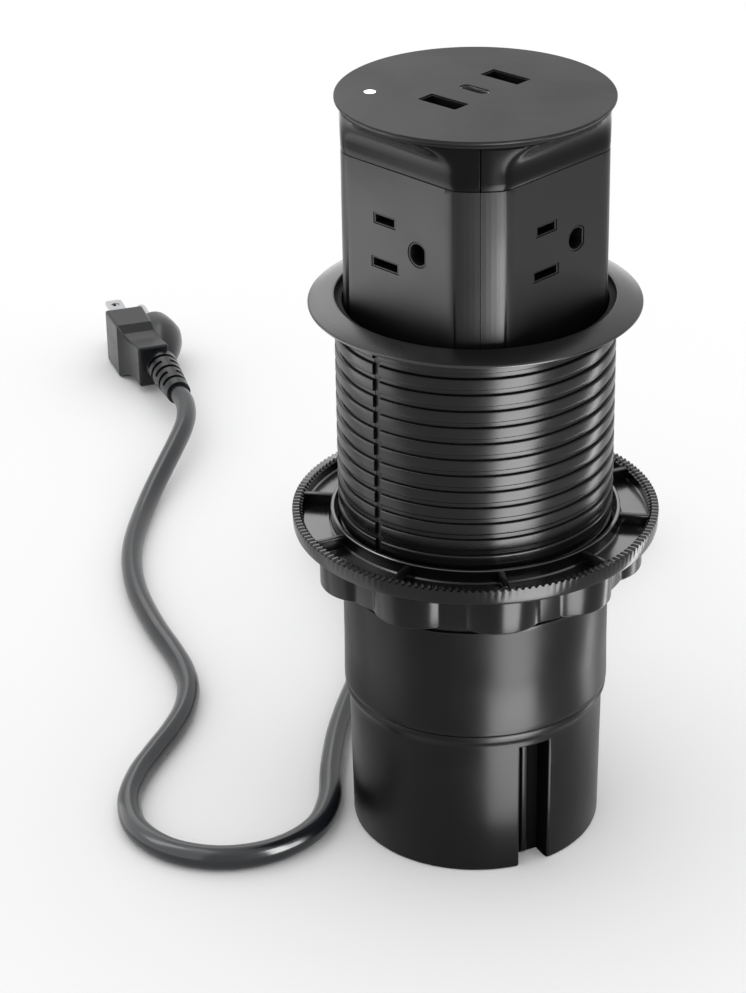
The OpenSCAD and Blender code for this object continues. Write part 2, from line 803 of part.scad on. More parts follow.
// Board that makes the low voltage for the ports
module usb_supply() {
  color([0.1, 0.35, 0.15])
  rotate([0, 0, yaw + 45])
  translate([0, 0, foot_top + 5.4])
  union() {
    translate([-supply_s, -supply_s, 0]) cube([2 * supply_s, 2 * supply_s, 1.6]);
    translate([-8, -15, 1.5]) cube([16, 14, 13]);
    translate([-9.5, -13, 1.5]) cube([19, 10, 4]);
    translate([-8, 10, 1.5]) cylinder(r = 4.5, h = 15, $fn = 28);
    translate([8, 10.5, 1.5]) cylinder(r = 3.5, h = 11, $fn = 24);
    translate([13, -12, 1.5]) cube([4, 20, 8]);
    translate([-17, -12, 1.5]) cube([4, 9, 9]);
  }
}

// Board under the cap that carries the ports
module usb_board() {
  color([0.1, 0.35, 0.15])
  translate([0, 0, board_z])
  linear_extrude(1.6)
  rotate(yaw)
  tower2d(wall + 0.4);
}

// Metal shell of a wide port
module wide_port(y) {
  z = board_z + 1.6;
  color([0.7, 0.71, 0.73])
  at_ports(y)
  difference() {
    translate([-6.3, -2.7, z]) cube([12.6, 5.4, cap_top - 0.35 - z]);
    translate([-5.95, -2.35, z + 1]) cube([11.9, 4.7, 20]);
  }
}

module usb_a_port_1() {
  wide_port(-12.95);
}

module usb_a_port_2() {
  wide_port(12.95);
}

// Metal shell of the small port
module usb_c_port() {
  z = board_z + 1.6;
  color([0.7, 0.71, 0.73])
  at_ports(0)
  translate([0, 0, z])
  difference() {
    linear_extrude(cap_top - 0.35 - z) stadium2d(9, 3.3);
    translate([0, 0, 1]) linear_extrude(20) stadium2d(8.4, 2.7);
  }
}

// Plastic tongues inside the ports
module port_tongues() {
  z = board_z + 2.6;
  color([0.05, 0.05, 0.055])
  union() {
    for (y = [-12.95, 12.95]) {
      at_ports(y) translate([-5.6, -1.9, z]) cube([11.2, 1.9, cap_top - 2.2 - z]);
    }
    at_ports(0) translate([-3.3, -0.35, z]) cube([6.6, 0.7, cap_top - 1.2 - z]);
  }
}

// Light pipe of the power lamp
module led_lens() {
  color([0.95, 0.97, 1.0])
  translate([-28.25, 0.7, board_z + 1.6])
  cylinder(r = 1.6, h = cap_top - 0.05 - board_z - 1.6, $fn = 24);
}

// Cord from the strain relief to the coil
module lead_start() {
  color([0.05, 0.05, 0.055])
  polyhedron(points = tube_points(start_fine, cord_d / 2, 8, [0, 0, 1]),
    faces = tube_faces(len(start_fine), 8));
}

// Cord put away in a neat coil
module lead_coil() {
  color([0.05, 0.05, 0.055])
  polyhedron(points = tube_points(coil_path, cord_d / 2, 6, [0, 0, 1]),
    faces = tube_faces(len(coil_path), 6));
}

// Strap round the coil
module coil_tie() {
  r1 = coil_r + 4.8;
  r2 = coil_r - coil_pitch * (coil_turns - coil_climb) / 2 - 4.8;
  color([0.1, 0.1, 0.1])
  translate([coil_x, coil_y + 6, 0])
  rotate([90, 0, 0])
  linear_extrude(12)
  difference() {
    translate([r2, 0.05]) square([r1 - r2, 16.6]);
    translate([r2 + 0.7, 0.7]) square([r1 - r2 - 1.4, 15.3]);
  }
}

// Cord from the coil to the plug
module lead_run() {
  color([0.05, 0.05, 0.055])
  polyhedron(points = tube_points(run_fine, cord_d / 2, 8, [0, 0, 1]),
    faces = tube_faces(len(run_fine), 8));
}

// Places children at the plug, which points along Y
module at_plug() {
  translate(plug_at) rotate([0, 0, plug_turn]) children();
}

// Slotted bush behind the plug
module plug_relief() {
  color([0.06, 0.06, 0.065])
  at_plug()
  rotate([-90, 0, 0])
  difference() {
    cylinder(r1 = 4.6, r2 = 6.4, h = 27, $fn = 32);
    for (k = [0 : 4]) {
      translate([0, 0, 4 + 4.4 * k])
        difference() {
          cylinder(r = 9, h = 1.8, $fn = 24);
          translate([0, 0, -1]) cylinder(r = 4, h = 5, $fn = 24);
          rotate([0, 0, 90 * (k % 2)]) translate([-9, -1.6, -1]) cube([18, 3.2, 5]);
        }
    }
  }
}

// Body of the plug with its rounded earth hood
module plug_body() {
  color([0.06, 0.06, 0.065])
  at_plug()
  union() {
    hull() {
      translate([-13, 60, -10.6]) cube([15, 2, 21.2]);
      translate([-12.4, 44, -11]) cube([14, 2, 22]);
      translate([-8.5, 27, -7.5]) cube([12, 2, 15]);
    }
    hull() {
      translate([5.95, 60, 0]) rotate([-90, 0, 0]) cylinder(r = 7.2, h = 2, $fn = 28);
      translate([4.8, 44, 0]) rotate([-90, 0, 0]) cylinder(r = 8.8, h = 2, $fn = 28);
      translate([1, 27, 0]) rotate([-90, 0, 0]) cylinder(r = 7, h = 2, $fn = 28);
    }
  }
}

// Flat line and neutral blades of the plug
module plug_blades() {
  color([0.8, 0.81, 0.83])
  at_plug()
  for (k = [-1, 1]) {
    difference() {
      hull() {
        translate([-9.12, 62.02, k * 6.35 - 0.75]) cube([6.35, blade_len - 1.5, 1.5]);
        translate([-8.12, 62.02 + blade_len - 0.4, k * 6.35 - 0.45]) cube([4.35, 0.4, 0.9]);
      }
      translate([-5.95, 74, k * 6.35 - 2]) cylinder(r = 1.6, h = 4, $fn = 20);
    }
  }
}

// Round earth pin of the plug
module plug_earth_pin() {
  color([0.8, 0.81, 0.83])
  at_plug()
  translate([5.95, 62.02, 0])
  rotate([-90, 0, 0])
  union() {
    cylinder(r = 2.38, h = 19.2, $fn = 28);
    translate([0, 0, 19.2]) cylinder(r1 = 2.38, r2 = 1.2, h = 1.8, $fn = 28);
  }
}

base_cup();
barrel();
desk_flange();
base_screws();
strain_relief();
cord_clamp();
clamp_screws();
terminal_block();
terminal_screws();
lead_tail();
lead_curl();
hold_springs();
clamp_washer();
lock_nut();
tower_foot();
foot_screws();
lead_grommet();
shell_left();
shell_right();
neck_left();
neck_right();
cap_seal();
top_cap();
outlet_1();
outlet_2();
outlet_3();
outlet_4();
line_contacts();
neutral_contacts();
earth_contacts();
feed_wires();
usb_supply();
usb_board();
usb_a_port_1();
usb_a_port_2();
usb_c_port();
port_tongues();
led_lens();
lead_start();
lead_coil();
coil_tie();
lead_run();
plug_relief();
plug_body();
plug_blades();
plug_earth_pin();
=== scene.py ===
# %% [markdown]
# # A pop up desk socket
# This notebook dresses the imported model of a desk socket: a tower with outlets that slides
# up out of a threaded barrel, a washer and nut that clamp the desk, and a coiled mains lead.
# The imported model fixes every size. Here each visible part gets its fine edges and its finish.

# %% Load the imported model
import math

import bmesh
import bpy
from mathutils import Matrix, Vector


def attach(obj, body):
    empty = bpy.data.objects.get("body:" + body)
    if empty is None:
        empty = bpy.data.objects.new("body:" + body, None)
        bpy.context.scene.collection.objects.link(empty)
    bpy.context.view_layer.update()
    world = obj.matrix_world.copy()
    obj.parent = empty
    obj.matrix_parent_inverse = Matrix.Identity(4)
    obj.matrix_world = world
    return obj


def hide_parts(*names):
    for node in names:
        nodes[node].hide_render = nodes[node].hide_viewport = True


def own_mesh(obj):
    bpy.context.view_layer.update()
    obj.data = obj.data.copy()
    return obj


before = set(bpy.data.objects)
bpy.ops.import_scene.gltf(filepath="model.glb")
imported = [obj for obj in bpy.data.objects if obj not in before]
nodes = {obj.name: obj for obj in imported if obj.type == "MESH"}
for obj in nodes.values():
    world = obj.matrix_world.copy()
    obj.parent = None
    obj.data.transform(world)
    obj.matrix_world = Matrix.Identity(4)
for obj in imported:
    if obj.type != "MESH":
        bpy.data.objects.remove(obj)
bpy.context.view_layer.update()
MM = 0.001

# %% [markdown]
# ## Camera
# The photograph was taken with a long lens from a little above. The place and the lens come
# from the ellipses of the cap, flange and base. The socket stands right of the middle. Turning
# the camera would tilt its upright edges, so the lens is shifted sideways instead.

# %% Camera
LOOK_DOWN = 0.4747
camera = bpy.data.objects.new("camera", bpy.data.cameras.new("camera"))
bpy.context.scene.collection.objects.link(camera)
camera.location = (0, -0.7568, 0.4926)
camera.rotation_euler = (math.radians(90) - LOOK_DOWN, 0, 0)
camera.data.sensor_width = 36
camera.data.lens = 107.93
camera.data.shift_x = -0.1032
bpy.context.scene.camera = camera
print("camera at", tuple(camera.location), "down", round(math.degrees(LOOK_DOWN), 1))

# %% [markdown]
# ## The lead's route
# A mains lead is one flexible length: out of the cup behind, into a neat coil of two layers
# behind the socket, and from there round the left side of the base and away in an S-curve to
# the plug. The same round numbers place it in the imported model, here in millimetres. A smooth
# route through them gives the centre line, and the round bevel of a curve turns that into the
# sheath. The curve is then kept as a mesh, because the box of a mesh is the sheath's own.


# %% Smooth route
def smooth_route(points, steps):
    """A finer route through the same points, with steps between each two."""
    first = [2 * a - b for a, b in zip(points[0], points[1])]
    last = [2 * a - b for a, b in zip(points[-1], points[-2])]
    ext = [first, *points, last]
    fine = []
    for i in range(1, len(ext) - 2):
        for k in range(steps):
            t = k / steps
            fine.append([
                0.5 * (2 * b + (c - a) * t + (2 * a - 5 * b + 4 * c - d) * t * t
                       + (3 * b - a - 3 * c + d) * t ** 3)
                for a, b, c, d in zip(*ext[i - 1:i + 3])])
    return fine + [list(points[-1])]


# %% Points of the route
lead_start = [
    (17.8, 48.9, 8.5), (20.3, 55.9, 8.5), (22.5, 64, 7.8), (23.9, 73.3, 6.6),
    (24.8, 83.5, 5.3), (25.5, 94, 4.5), (26.4, 104.5, 4.4), (28, 114.5, 4.4),
    (30.6, 124, 4.4), (34.5, 132.8, 4.4), (39.5, 140.4, 4.4)]
lead_run = [
    (-43.7, 147.6, 12.2), (-41.3, 142, 12.2), (-37.9, 131.6, 11.9), (-35.6, 119.5, 10.8),
    (-34.7, 107.5, 8.6), (-34.6, 95.5, 6.2), (-35.2, 83.5, 4.5), (-36.7, 71.5, 3.8),
    (-38.8, 59.5, 3.7), (-41.1, 46.5, 3.7), (-43, 31, 3.7), (-43.9, 13, 3.7),
    (-43.9, -5.5, 3.7), (-47.9, -20.2, 3.7), (-58.8, -31.1, 3.7), (-73.8, -35.1, 3.7),
    (-88.8, -31.1, 3.7), (-99.7, -20.2, 3.7), (-103.7, -5.5, 3.7), (-102.5, 9, 3.7),
    (-98.8, 22, 3.7), (-94.7, 34.5, 3.7), (-91.9, 47, 3.7), (-91.6, 60, 3.7),
    (-94.3, 72.5, 3.7), (-98.9, 84.5, 3.7), (-104.3, 96.5, 3.7), (-109.3, 109, 3.7),
    (-113.7, 122, 3.7), (-117, 136, 3.7), (-118.9, 150.5, 3.7), (-119.2, 165, 3.7),
    (-118.2, 180, 3.8), (-116.2, 195.5, 5), (-113.1, 211, 7.4), (-110.3, 224, 9.5),
    (-108.3, 236.5, 10.9), (-108.1, 247.5, 11.2), (-109.6, 257.6, 11.2), (-112.6, 266, 11.2)]
print("points set by hand:", len(lead_start) + len(lead_run))

# %% [markdown]
# The coil winds inwards on the floor, climbs on to itself during the last part of a turn, and
# winds outwards again as a second layer. A spiral by formula keeps the turns evenly apart, which
# would be hard with points set by hand.

# %% Coil and whole route
COIL_RADIUS, COIL_SPACING, COIL_Y = 48.2, 8.3, 168
FLOOR_LAYER, LAYER_RISE = 4.4, 7.8
CLIMB_TURNS, TURN_STEPS, COIL_FROM = 0.3, 72, -35
coil_turns = 4 + 240 / 360
layer_turns = (coil_turns - CLIMB_TURNS) / 2
coil = []
for i in range(1, int(coil_turns * TURN_STEPS)):
    done = i / TURN_STEPS
    inwards = COIL_SPACING * min(done, layer_turns)
    outwards = COIL_SPACING * max(0, done - layer_turns - CLIMB_TURNS)
    radius = COIL_RADIUS - inwards + outwards
    climb = min(1, max(0, (done - layer_turns) / CLIMB_TURNS))
    angle = math.radians(COIL_FROM + 360 * done)
    coil.append((radius * math.cos(angle), COIL_Y + radius * math.sin(angle),
                 FLOOR_LAYER + LAYER_RISE * climb * climb * (3 - 2 * climb)))
route = smooth_route(lead_start, 8) + coil + smooth_route(lead_run, 8)
route = [Vector(point) * MM for point in route]


# %% Sheath of the lead
def drawn_tube(name, points, thick):
    """A round tube along points in metres, drawn as a curve and kept as a mesh."""
    curve = bpy.data.curves.new(name, "CURVE")
    curve.dimensions = "3D"
    curve.bevel_depth = thick / 2
    curve.bevel_resolution = 6
    curve.use_fill_caps = True
    line = curve.splines.new("POLY")
    line.points.add(len(points) - 1)
    for point, place in zip(line.points, points):
        point.co = (*place, 1)
    drawn = bpy.data.objects.new("drawn_line", curve)
    bpy.context.scene.collection.objects.link(drawn)
    shaped = drawn.evaluated_get(bpy.context.evaluated_depsgraph_get())
    mesh = bpy.data.meshes.new_from_object(shaped)
    mesh.shade_smooth()
    bpy.data.objects.remove(drawn)
    tube = bpy.data.objects.new(name, mesh)
    bpy.context.scene.collection.objects.link(tube)
    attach(tube, "housing")
    print(name, "faces:", len(mesh.polygons))
    return tube


mains_lead = drawn_tube("mains_lead", route, 7.2 * MM)
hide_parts("lead_start", "lead_coil", "lead_run")

# %% [markdown]
# Inside the socket a curly lead joins the fixed base to the sliding tower. It winds up from the
# terminal block to the tower's foot, slowly at both ends and faster between. The tower's travel is
# 57.5 mm.

# %% Curly lead
CURL_RADIUS, CURL_FROM, CURL_SWEEP, CURL_STEPS = 21.0, -20, 1192, 160
curl_low, stroke = 19.5, 57.5
curl_top = max(v.co.z for v in nodes["lead_curl"].data.vertices) / MM
curl = []
for i in range(CURL_STEPS + 1):
    share = i / CURL_STEPS
    eased = share - math.sin(2 * math.pi * share) / (2 * math.pi)
    angle = math.radians(CURL_FROM + CURL_SWEEP * eased)
    curl.append(Vector((CURL_RADIUS * math.sin(angle), -CURL_RADIUS * math.cos(angle),
                        curl_low + (curl_top - curl_low) * share)) * MM)
curly_lead = drawn_tube("curly_lead", curl, 5.2 * MM)
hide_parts("lead_curl")
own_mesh(curly_lead)
print("curly lead from", curl_low, "to", round(curl_top, 2), "mm")

# %% [markdown]
# ## Helpers for solid parts
# Most parts of the socket are turned or moulded round shapes. A Screw modifier could turn them
# too, but a bmesh can be shaped further afterwards. So the first helper spins a closed profile
# about the socket's axis. The next ones find sharp edges, round them and move a point in or out,
# and the last turns a finished bmesh into an object that rides on a body and stands for its
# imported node.


# %% Turn a profile
def turned(profile, steps=192):
    """A bmesh of a profile of (radius, height) points in millimetres, spun round the axis."""
    bm = bmesh.new()
    verts = [bm.verts.new((0, -r * MM, z * MM)) for r, z in profile]
    edges = [bm.edges.new(pair) for pair in zip(verts, verts[1:])]
    edges.append(bm.edges.new((verts[-1], verts[0])))
    bmesh.ops.spin(bm, geom=verts + edges, cent=(0, 0, 0), axis=(0, 0, 1),
                   angle=2 * math.pi, steps=steps, use_merge=True)
    bmesh.ops.remove_doubles(bm, verts=bm.verts, dist=1e-6)
    bmesh.ops.recalc_face_normals(bm, faces=bm.faces)
    return bm


# %% Round edges and move points
def is_sharp(e, above=0.9):
    """Whether two faces meet at an edge at more than an angle in radians."""
    return len(e.link_faces) == 2 and e.calc_face_angle() > above


def round_edges(bm, edges, width, segments, clamp=False):
    """Bevels edges by a width in millimetres, and returns the new faces."""
    return bmesh.ops.bevel(bm, geom=edges, offset=width * MM, offset_type="OFFSET",
                           segments=segments, profile=0.5, affect="EDGES",
                           clamp_overlap=clamp, material=-1)["faces"]


def set_radius(v, radius):
    """Moves a point level, to a distance from the axis in millimetres."""
    flat = Vector((v.co.x, v.co.y, 0))
    flat *= radius * MM / flat.length
    v.co = (flat.x, flat.y, v.co.z)


def whole(bm):
    """All that a bmesh is made of."""
    return bm.verts[:] + bm.edges[:] + bm.faces[:]


# %% Keep a part
def keep(bm, name, body, *stands_for, sharp=35):
    """An object from a bmesh, shaded smooth up to an angle, riding on a body."""
    mesh = bpy.data.meshes.new(name)
    bm.to_mesh(mesh)
    bm.free()
    mesh.shade_smooth()
    mesh.set_sharp_from_angle(angle=math.radians(sharp))
    part = bpy.data.objects.new(name, mesh)
    bpy.context.scene.collection.objects.link(part)
    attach(part, body)
    if stands_for:
        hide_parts(*stands_for)
    print(name, "faces:", len(mesh.polygons))
    return part


# %% [markdown]
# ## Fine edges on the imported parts
# The cap and the outlets have their right shape already, but their edges are perfectly sharp,
# and a moulded edge never is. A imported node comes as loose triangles. Three live modifiers leave
# its mesh alone and still give it a small radius: Weld joins the triangles, Decimate in planar
# mode joins the ones that lie in one plane, and Bevel rounds what is sharper than 30 degrees.


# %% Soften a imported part
def soften(name, width):
    """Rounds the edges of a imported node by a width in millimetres."""
    part = nodes[name]
    weld = part.modifiers.new("weld", "WELD")
    weld.merge_threshold = 1e-6
    planar = part.modifiers.new("planar", "DECIMATE")
    planar.decimate_type = "DISSOLVE"
    planar.angle_limit = math.radians(0.4)
    edge = part.modifiers.new("edge", "BEVEL")
    edge.width = width * MM
    edge.segments = 2
    edge.limit_method = "ANGLE"
    edge.angle_limit = math.radians(30)
    edge.harden_normals = True
    edge.use_clamp_overlap = True


moulded = {
    "top_cap": 0.18, "outlet_1": 0.14, "outlet_2": 0.14, "outlet_3": 0.14, "outlet_4": 0.14}
for name, width in moulded.items():
    soften(name, width)
print("softened:", len(moulded))

# %% [markdown]
# ## Cup
# The cup's packed wall has flat sides, which show as streaks in a glossy finish. So its solid is
# copied with the outside drawn in a little, and a smooth wall is spun over it. The wall leans by
# half a millimetre, as a moulding has to, and ends in a bead under the seam.

# %% Core of the cup
OUTSIDE_FROM, DRAWN_IN = 36.1, 0.6
core = bmesh.new()
core.from_mesh(nodes["base_cup"].data)
bmesh.ops.remove_doubles(core, verts=core.verts, dist=1e-6)
for v in core.verts:
    radius = math.hypot(v.co.x, v.co.y)
    if radius > OUTSIDE_FROM * MM:
        v.co.x *= 1 - DRAWN_IN * MM / radius
        v.co.y *= 1 - DRAWN_IN * MM / radius
keep(core, "cup_core", "housing", "base_cup")

# %% [markdown]
# A Boolean would cut the front channel and the cord's mouth, but it leaves thin faces that shade
# badly. Instead the spun columns are spread a little unevenly, so that some of them stand exactly
# at the edges of the two openings, and the faces between those are taken out. The shift eases
# off on both sides of an opening. An opening is its turn from the front in degrees, its half
# width and its top.

# %% Line of the wall and its openings
wall_line = [
    (35.78, 0.03), (36.28, 0.28), (36.51, 1.0), (36.74, 17.5), (37.01, 37.0), (37.03, 40.65),
    (37.05, 42.3), (37.14, 42.8), (37.36, 43.3), (37.7, 43.8), (38.02, 44.25), (38.2, 44.7),
    (38.27, 45.2), (38.26, 45.7), (38.15, 46.1), (37.9, 46.4), (37.6, 46.53)]
CHANNEL_TURN, CHANNEL_TOP = 27.7, 40.65
WALL_STEPS, WALL_RADIUS = 240, 36.8
COLUMN = 360 / WALL_STEPS
openings = [(CHANNEL_TURN, 4.6, CHANNEL_TOP), (160.0, 7.25, 17.5)]
print("a column every", COLUMN, "degrees")

# %% Spun wall
wall = bmesh.new()
line_verts = [wall.verts.new((0, -r * MM, z * MM)) for r, z in wall_line]
line_edges = [wall.edges.new(pair) for pair in zip(line_verts, line_verts[1:])]
bmesh.ops.spin(wall, geom=line_verts + line_edges, cent=(0, 0, 0), axis=(0, 0, 1),
               angle=2 * math.pi, steps=WALL_STEPS, use_merge=True)
bmesh.ops.remove_doubles(wall, verts=wall.verts, dist=1e-6)
print("wall points:", len(wall.verts))


# %% Turns round the axis
def turn_of(co):
    """Degrees from the front, towards the right."""
    return math.degrees(math.atan2(co.x, -co.y)) % 360


def half_turn(half_width):
    """Degrees between the middle and the edge of an opening in the cup's wall."""
    return math.degrees(math.asin(half_width / WALL_RADIUS))


def face_outwards(bm):
    """Makes the faces of an open sheet round the axis agree, and point away from it."""
    bmesh.ops.recalc_face_normals(bm, faces=bm.faces)
    if sum(f.normal.dot(f.calc_center_median()) for f in bm.faces) < 0:
        bmesh.ops.reverse_faces(bm, faces=bm.faces)


# %% Columns at the openings
UNMOVED, EASED_OVER = (0, 9, 136.5), 19.5
knots = {(turn, turn) for turn in UNMOVED}
for middle, half_width, top in openings:
    for edge_turn in (middle - half_turn(half_width), middle + half_turn(half_width)):
        knots.add((round(edge_turn / COLUMN) * COLUMN, edge_turn))
    beyond = round(middle / COLUMN) * COLUMN + EASED_OVER
    knots.add((beyond, beyond))
knots = sorted(knots) + [(360, 360)]
print("columns kept or moved:", len(knots))
for v in wall.verts:
    turn = turn_of(v.co) + 1e-4
    for (a, b), (c, d) in zip(knots, knots[1:]):
        if a <= turn < c:
            placed = math.radians(b + (turn - a) * (d - b) / (c - a))
    radius = math.hypot(v.co.x, v.co.y)
    v.co.x = radius * math.sin(placed)
    v.co.y = -radius * math.cos(placed)

# %% Faces of the openings
gone = set()
for middle, half_width, top in openings:
    half = half_turn(half_width)
    for f in wall.faces:
        centre = f.calc_center_median()
        if abs(turn_of(centre) - middle) < half and centre.z < top * MM:
            gone.add(f)
bmesh.ops.delete(wall, geom=list(gone), context="FACES")
face_outwards(wall)
print("wall faces:", len(wall.faces), "taken out:", len(gone))

# %% [markdown]
# The channel gets a lining: the edges round it are drawn straight in to its back, and a last
# face closes that. Its edges are rounded by 0.8 mm, because in the photograph they catch the
# light. Then the whole sheet is given thickness, which closes it all round.

# %% Points in the channel
CHANNEL_HALF, CHANNEL_BACK, CHANNEL_FRONT, BEHIND_BACK = 4.65, 29.7, 33, 28
channel_angle = math.radians(CHANNEL_TURN)
out_from_axis = Vector((math.sin(channel_angle), -math.cos(channel_angle), 0))


def in_channel(co, spare=0.05):
    """Whether a point lies in the channel or on its edge."""
    flat = Vector((co.x, co.y, 0))
    aside = (flat - out_from_axis * flat.dot(out_from_axis)).length
    return (flat.dot(out_from_axis) > BEHIND_BACK * MM and aside < (CHANNEL_HALF + spare) * MM
            and co.z < (CHANNEL_TOP + spare) * MM)


# %% Lining
mouth_edges = [e for e in wall.edges if e.is_boundary and all(in_channel(v.co) for v in e.verts)
               and max(v.co.z for v in e.verts) > 0.1 * MM]
lining = bmesh.ops.extrude_edge_only(wall, edges=mouth_edges)["geom"]
deep = [g for g in lining if isinstance(g, bmesh.types.BMVert)]
for v in deep:
    v.co += out_from_axis * (CHANNEL_BACK * MM - v.co.dot(out_from_axis))
bmesh.ops.contextual_create(wall, geom=deep)
face_outwards(wall)
print("edges drawn in:", len(mouth_edges))

# %% Edges and thickness
channel_edges = [e for e in wall.edges if is_sharp(e) and all(
    in_channel(v.co) and v.co.dot(out_from_axis) > CHANNEL_FRONT * MM for v in e.verts)]
round_edges(wall, channel_edges, 0.8, 4)
bmesh.ops.solidify(wall, geom=wall.faces[:], thickness=0.9 * MM)
for v in wall.verts:
    v.co.z = max(v.co.z, 0)
print("channel edges:", len(channel_edges))
wall_radii = [math.hypot(v.co.x, v.co.y) / MM for v in wall.verts]
print("wall radius", round(min(wall_radii), 2), "to", round(max(wall_radii), 2))
keep(wall, "cup_wall", "housing", sharp=40)

# %% [markdown]
# ## Neck
# Above the seam the tower's four flats go on for four millimetres and then sweep out to the
# round cap in a cove. Cutting the coves out and bevelling their edges would work, but a bevel
# gets into trouble where a cove runs out at a pillar. So a ring is turned first, and each of its
# points is then drawn in to the nearest flat or cove where that is closer to the axis. The
# smaller of the two distances is taken softly, which rounds the edge between flat and round.


# %% Soft corners
TOWER_TURN = 2
FLAT_AT = 30.3


def soft_min(a, b, soft):
    """The smaller of two lengths in millimetres, with a soft change between them."""
    middle = (a + b) / 2
    return middle - soft * math.log(
        math.exp((middle - a) / soft) + math.exp((middle - b) / soft))


def from_flat(co):
    """Radians between a point and the middle of the nearest of the tower's four flats."""
    return math.radians((turn_of(co) - TOWER_TURN) % 90 - 45)


# %% Ring of the neck
NECK_ROUND, NECK_WALL, NECK_EDGE = 36.5, 2.2, 0.2
RING_OUTSIDE, RING_MIDDLE, RING_INSIDE = 36.6, 35, 34.4
COVE_FROM, COVE_RADIUS, COVE_STEPS, COVE_LIFT = 4, 8, 18, 7.96
neck_low = min(v.co.z for v in nodes["neck_left"].data.vertices) / MM
neck_top = max(v.co.z for v in nodes["neck_left"].data.vertices) / MM
neck_height = neck_top - neck_low
levels = [0, 0.22, 2, 3.6]
cove_height = neck_height - COVE_FROM - NECK_EDGE
levels += [COVE_FROM + cove_height * i / COVE_STEPS for i in range(COVE_STEPS + 1)]
levels.append(neck_height)
section = [(RING_OUTSIDE, neck_low + rise) for rise in levels]
section += [(RING_INSIDE, neck_low + rise) for rise in reversed(levels[::3])]
print("neck from", round(neck_low, 2), "to", round(neck_top, 2), "mm")

# %% Flats and coves of the ring
neck_ring = turned(section, steps=720)
for v in neck_ring.verts:
    rise = v.co.z / MM - neck_low
    share = rise / neck_height
    lift = min(max(0, rise - COVE_FROM), COVE_LIFT)
    cove_at = FLAT_AT + COVE_RADIUS - math.sqrt(COVE_RADIUS ** 2 - lift * lift)
    radius = soft_min(NECK_ROUND + 0.25 * share, cove_at / math.cos(from_flat(v.co)),
                      0.5 + 0.5 * share)
    if share < 0.001 or share > 0.999:
        radius -= NECK_EDGE
    if v.co.xy.length < RING_MIDDLE * MM:
        radius -= NECK_WALL
    set_radius(v, radius)
print("points in the ring:", len(neck_ring.verts))

# %% [markdown]
# Like the shells below it the neck is moulded in two halves that meet in the middle of two
# pillars. The ring is cut there twice, the cuts are closed, and their outer edges are rounded.

# %% Neck halves
SEAM, PILLAR_OUTSIDE = 0.06, 36
across = Vector((math.cos(math.radians(TOWER_TURN)), math.sin(math.radians(TOWER_TURN)), 0))
for side, name in ((-1, "left"), (1, "right")):
    half = neck_ring.copy()
    bmesh.ops.bisect_plane(half, geom=whole(half),
                           plane_co=across * side * SEAM * MM, plane_no=across,
                           clear_inner=side > 0, clear_outer=side < 0)
    bmesh.ops.holes_fill(half, edges=[e for e in half.edges if e.is_boundary], sides=0)
    bmesh.ops.recalc_face_normals(half, faces=half.faces)
    cut_edges = [e for e in half.edges if is_sharp(e, 1) and all(
        abs(v.co.dot(across) - side * SEAM * MM) < 1e-6
        and v.co.xy.length > PILLAR_OUTSIDE * MM for v in e.verts)]
    round_edges(half, cut_edges, 0.3, 3)
    keep(half, "neck_half_" + name, "tower", "neck_" + name, sharp=50)
neck_ring.free()

# %% [markdown]
# ## Shells
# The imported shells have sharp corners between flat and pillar, where the moulding is soft. Each
# shell is copied, and upright planes through the axis cut it into narrow strips near its
# corners. The points of its outside then go to the same soft corner as the neck's. Only the
# edges of the upper rim and of the seam get a bevel. The large flat faces keep hard edges, or
# smooth shading would bend the light across them.

# %% Soft corners of a shell
SHELL_ROUND, RIM_FROM = 36.45, 210.6
CORNER_TURNS = (-76.9, -9.1, 13.1, 80.9)
STRIP_TURNS = (-4.2, -3, -2.2, -1.5, -0.8, -0.2, 0.4, 1.1, 1.9, 2.9, 4)


def cut_strips(bm):
    """Cuts a shell by upright planes through the axis, close together at its corners."""
    for corner in CORNER_TURNS:
        for step in STRIP_TURNS:
            angle = math.radians(corner + step)
            bmesh.ops.bisect_plane(bm, geom=whole(bm), dist=1e-6, plane_co=(0, 0, 0),
                                   plane_no=(math.cos(angle), math.sin(angle), 0))


def soften_corners(bm):
    """Moves the points of a shell's outside to the soft corner, and counts them."""
    moved = 0
    for v in bm.verts:
        plane_at = FLAT_AT / math.cos(from_flat(v.co))
        if abs(v.co.xy.length / MM - min(SHELL_ROUND, plane_at)) < 0.2:
            set_radius(v, soft_min(SHELL_ROUND, plane_at, 0.5))
            moved += 1
    return moved


# %% Soft shells
SHELL_OUTSIDE, LARGE_FACE = 29.9, 40
for side in ("left", "right"):
    shell = bmesh.new()
    shell.from_mesh(nodes["shell_" + side].data)
    bmesh.ops.remove_doubles(shell, verts=shell.verts, dist=1e-6)
    bmesh.ops.dissolve_limit(shell, angle_limit=math.radians(0.4), verts=shell.verts,
                             edges=shell.edges)
    cut_strips(shell)
    print("points moved:", soften_corners(shell))
    rim_edges = [e for e in shell.edges if is_sharp(e)
                 and all(v.co.xy.length > SHELL_OUTSIDE * MM for v in e.verts)
                 and (min(v.co.z for v in e.verts) > RIM_FROM * MM
                      or all(abs(v.co.dot(across)) < 0.1 * MM for v in e.verts))]
    round_edges(shell, rim_edges, 0.22, 2, clamp=True)
    skin = keep(shell, "shell_skin_" + side, "tower", "shell_" + side, sharp=40)
    for face in skin.data.polygons:
        if face.area > LARGE_FACE * MM * MM:
            for i in face.loop_indices:
                skin.data.edges[skin.data.loops[i].edge_index].use_edge_sharp = True

# %% [markdown]
# ## Barrel
# The barrel is a plain tube with a moulded clamp thread on its upper part. As the thread is a
# piece of its own here, the tube can be turned from its section: the sleeve with a raised lip
# over the seam, the bore and the spigot under the flange.

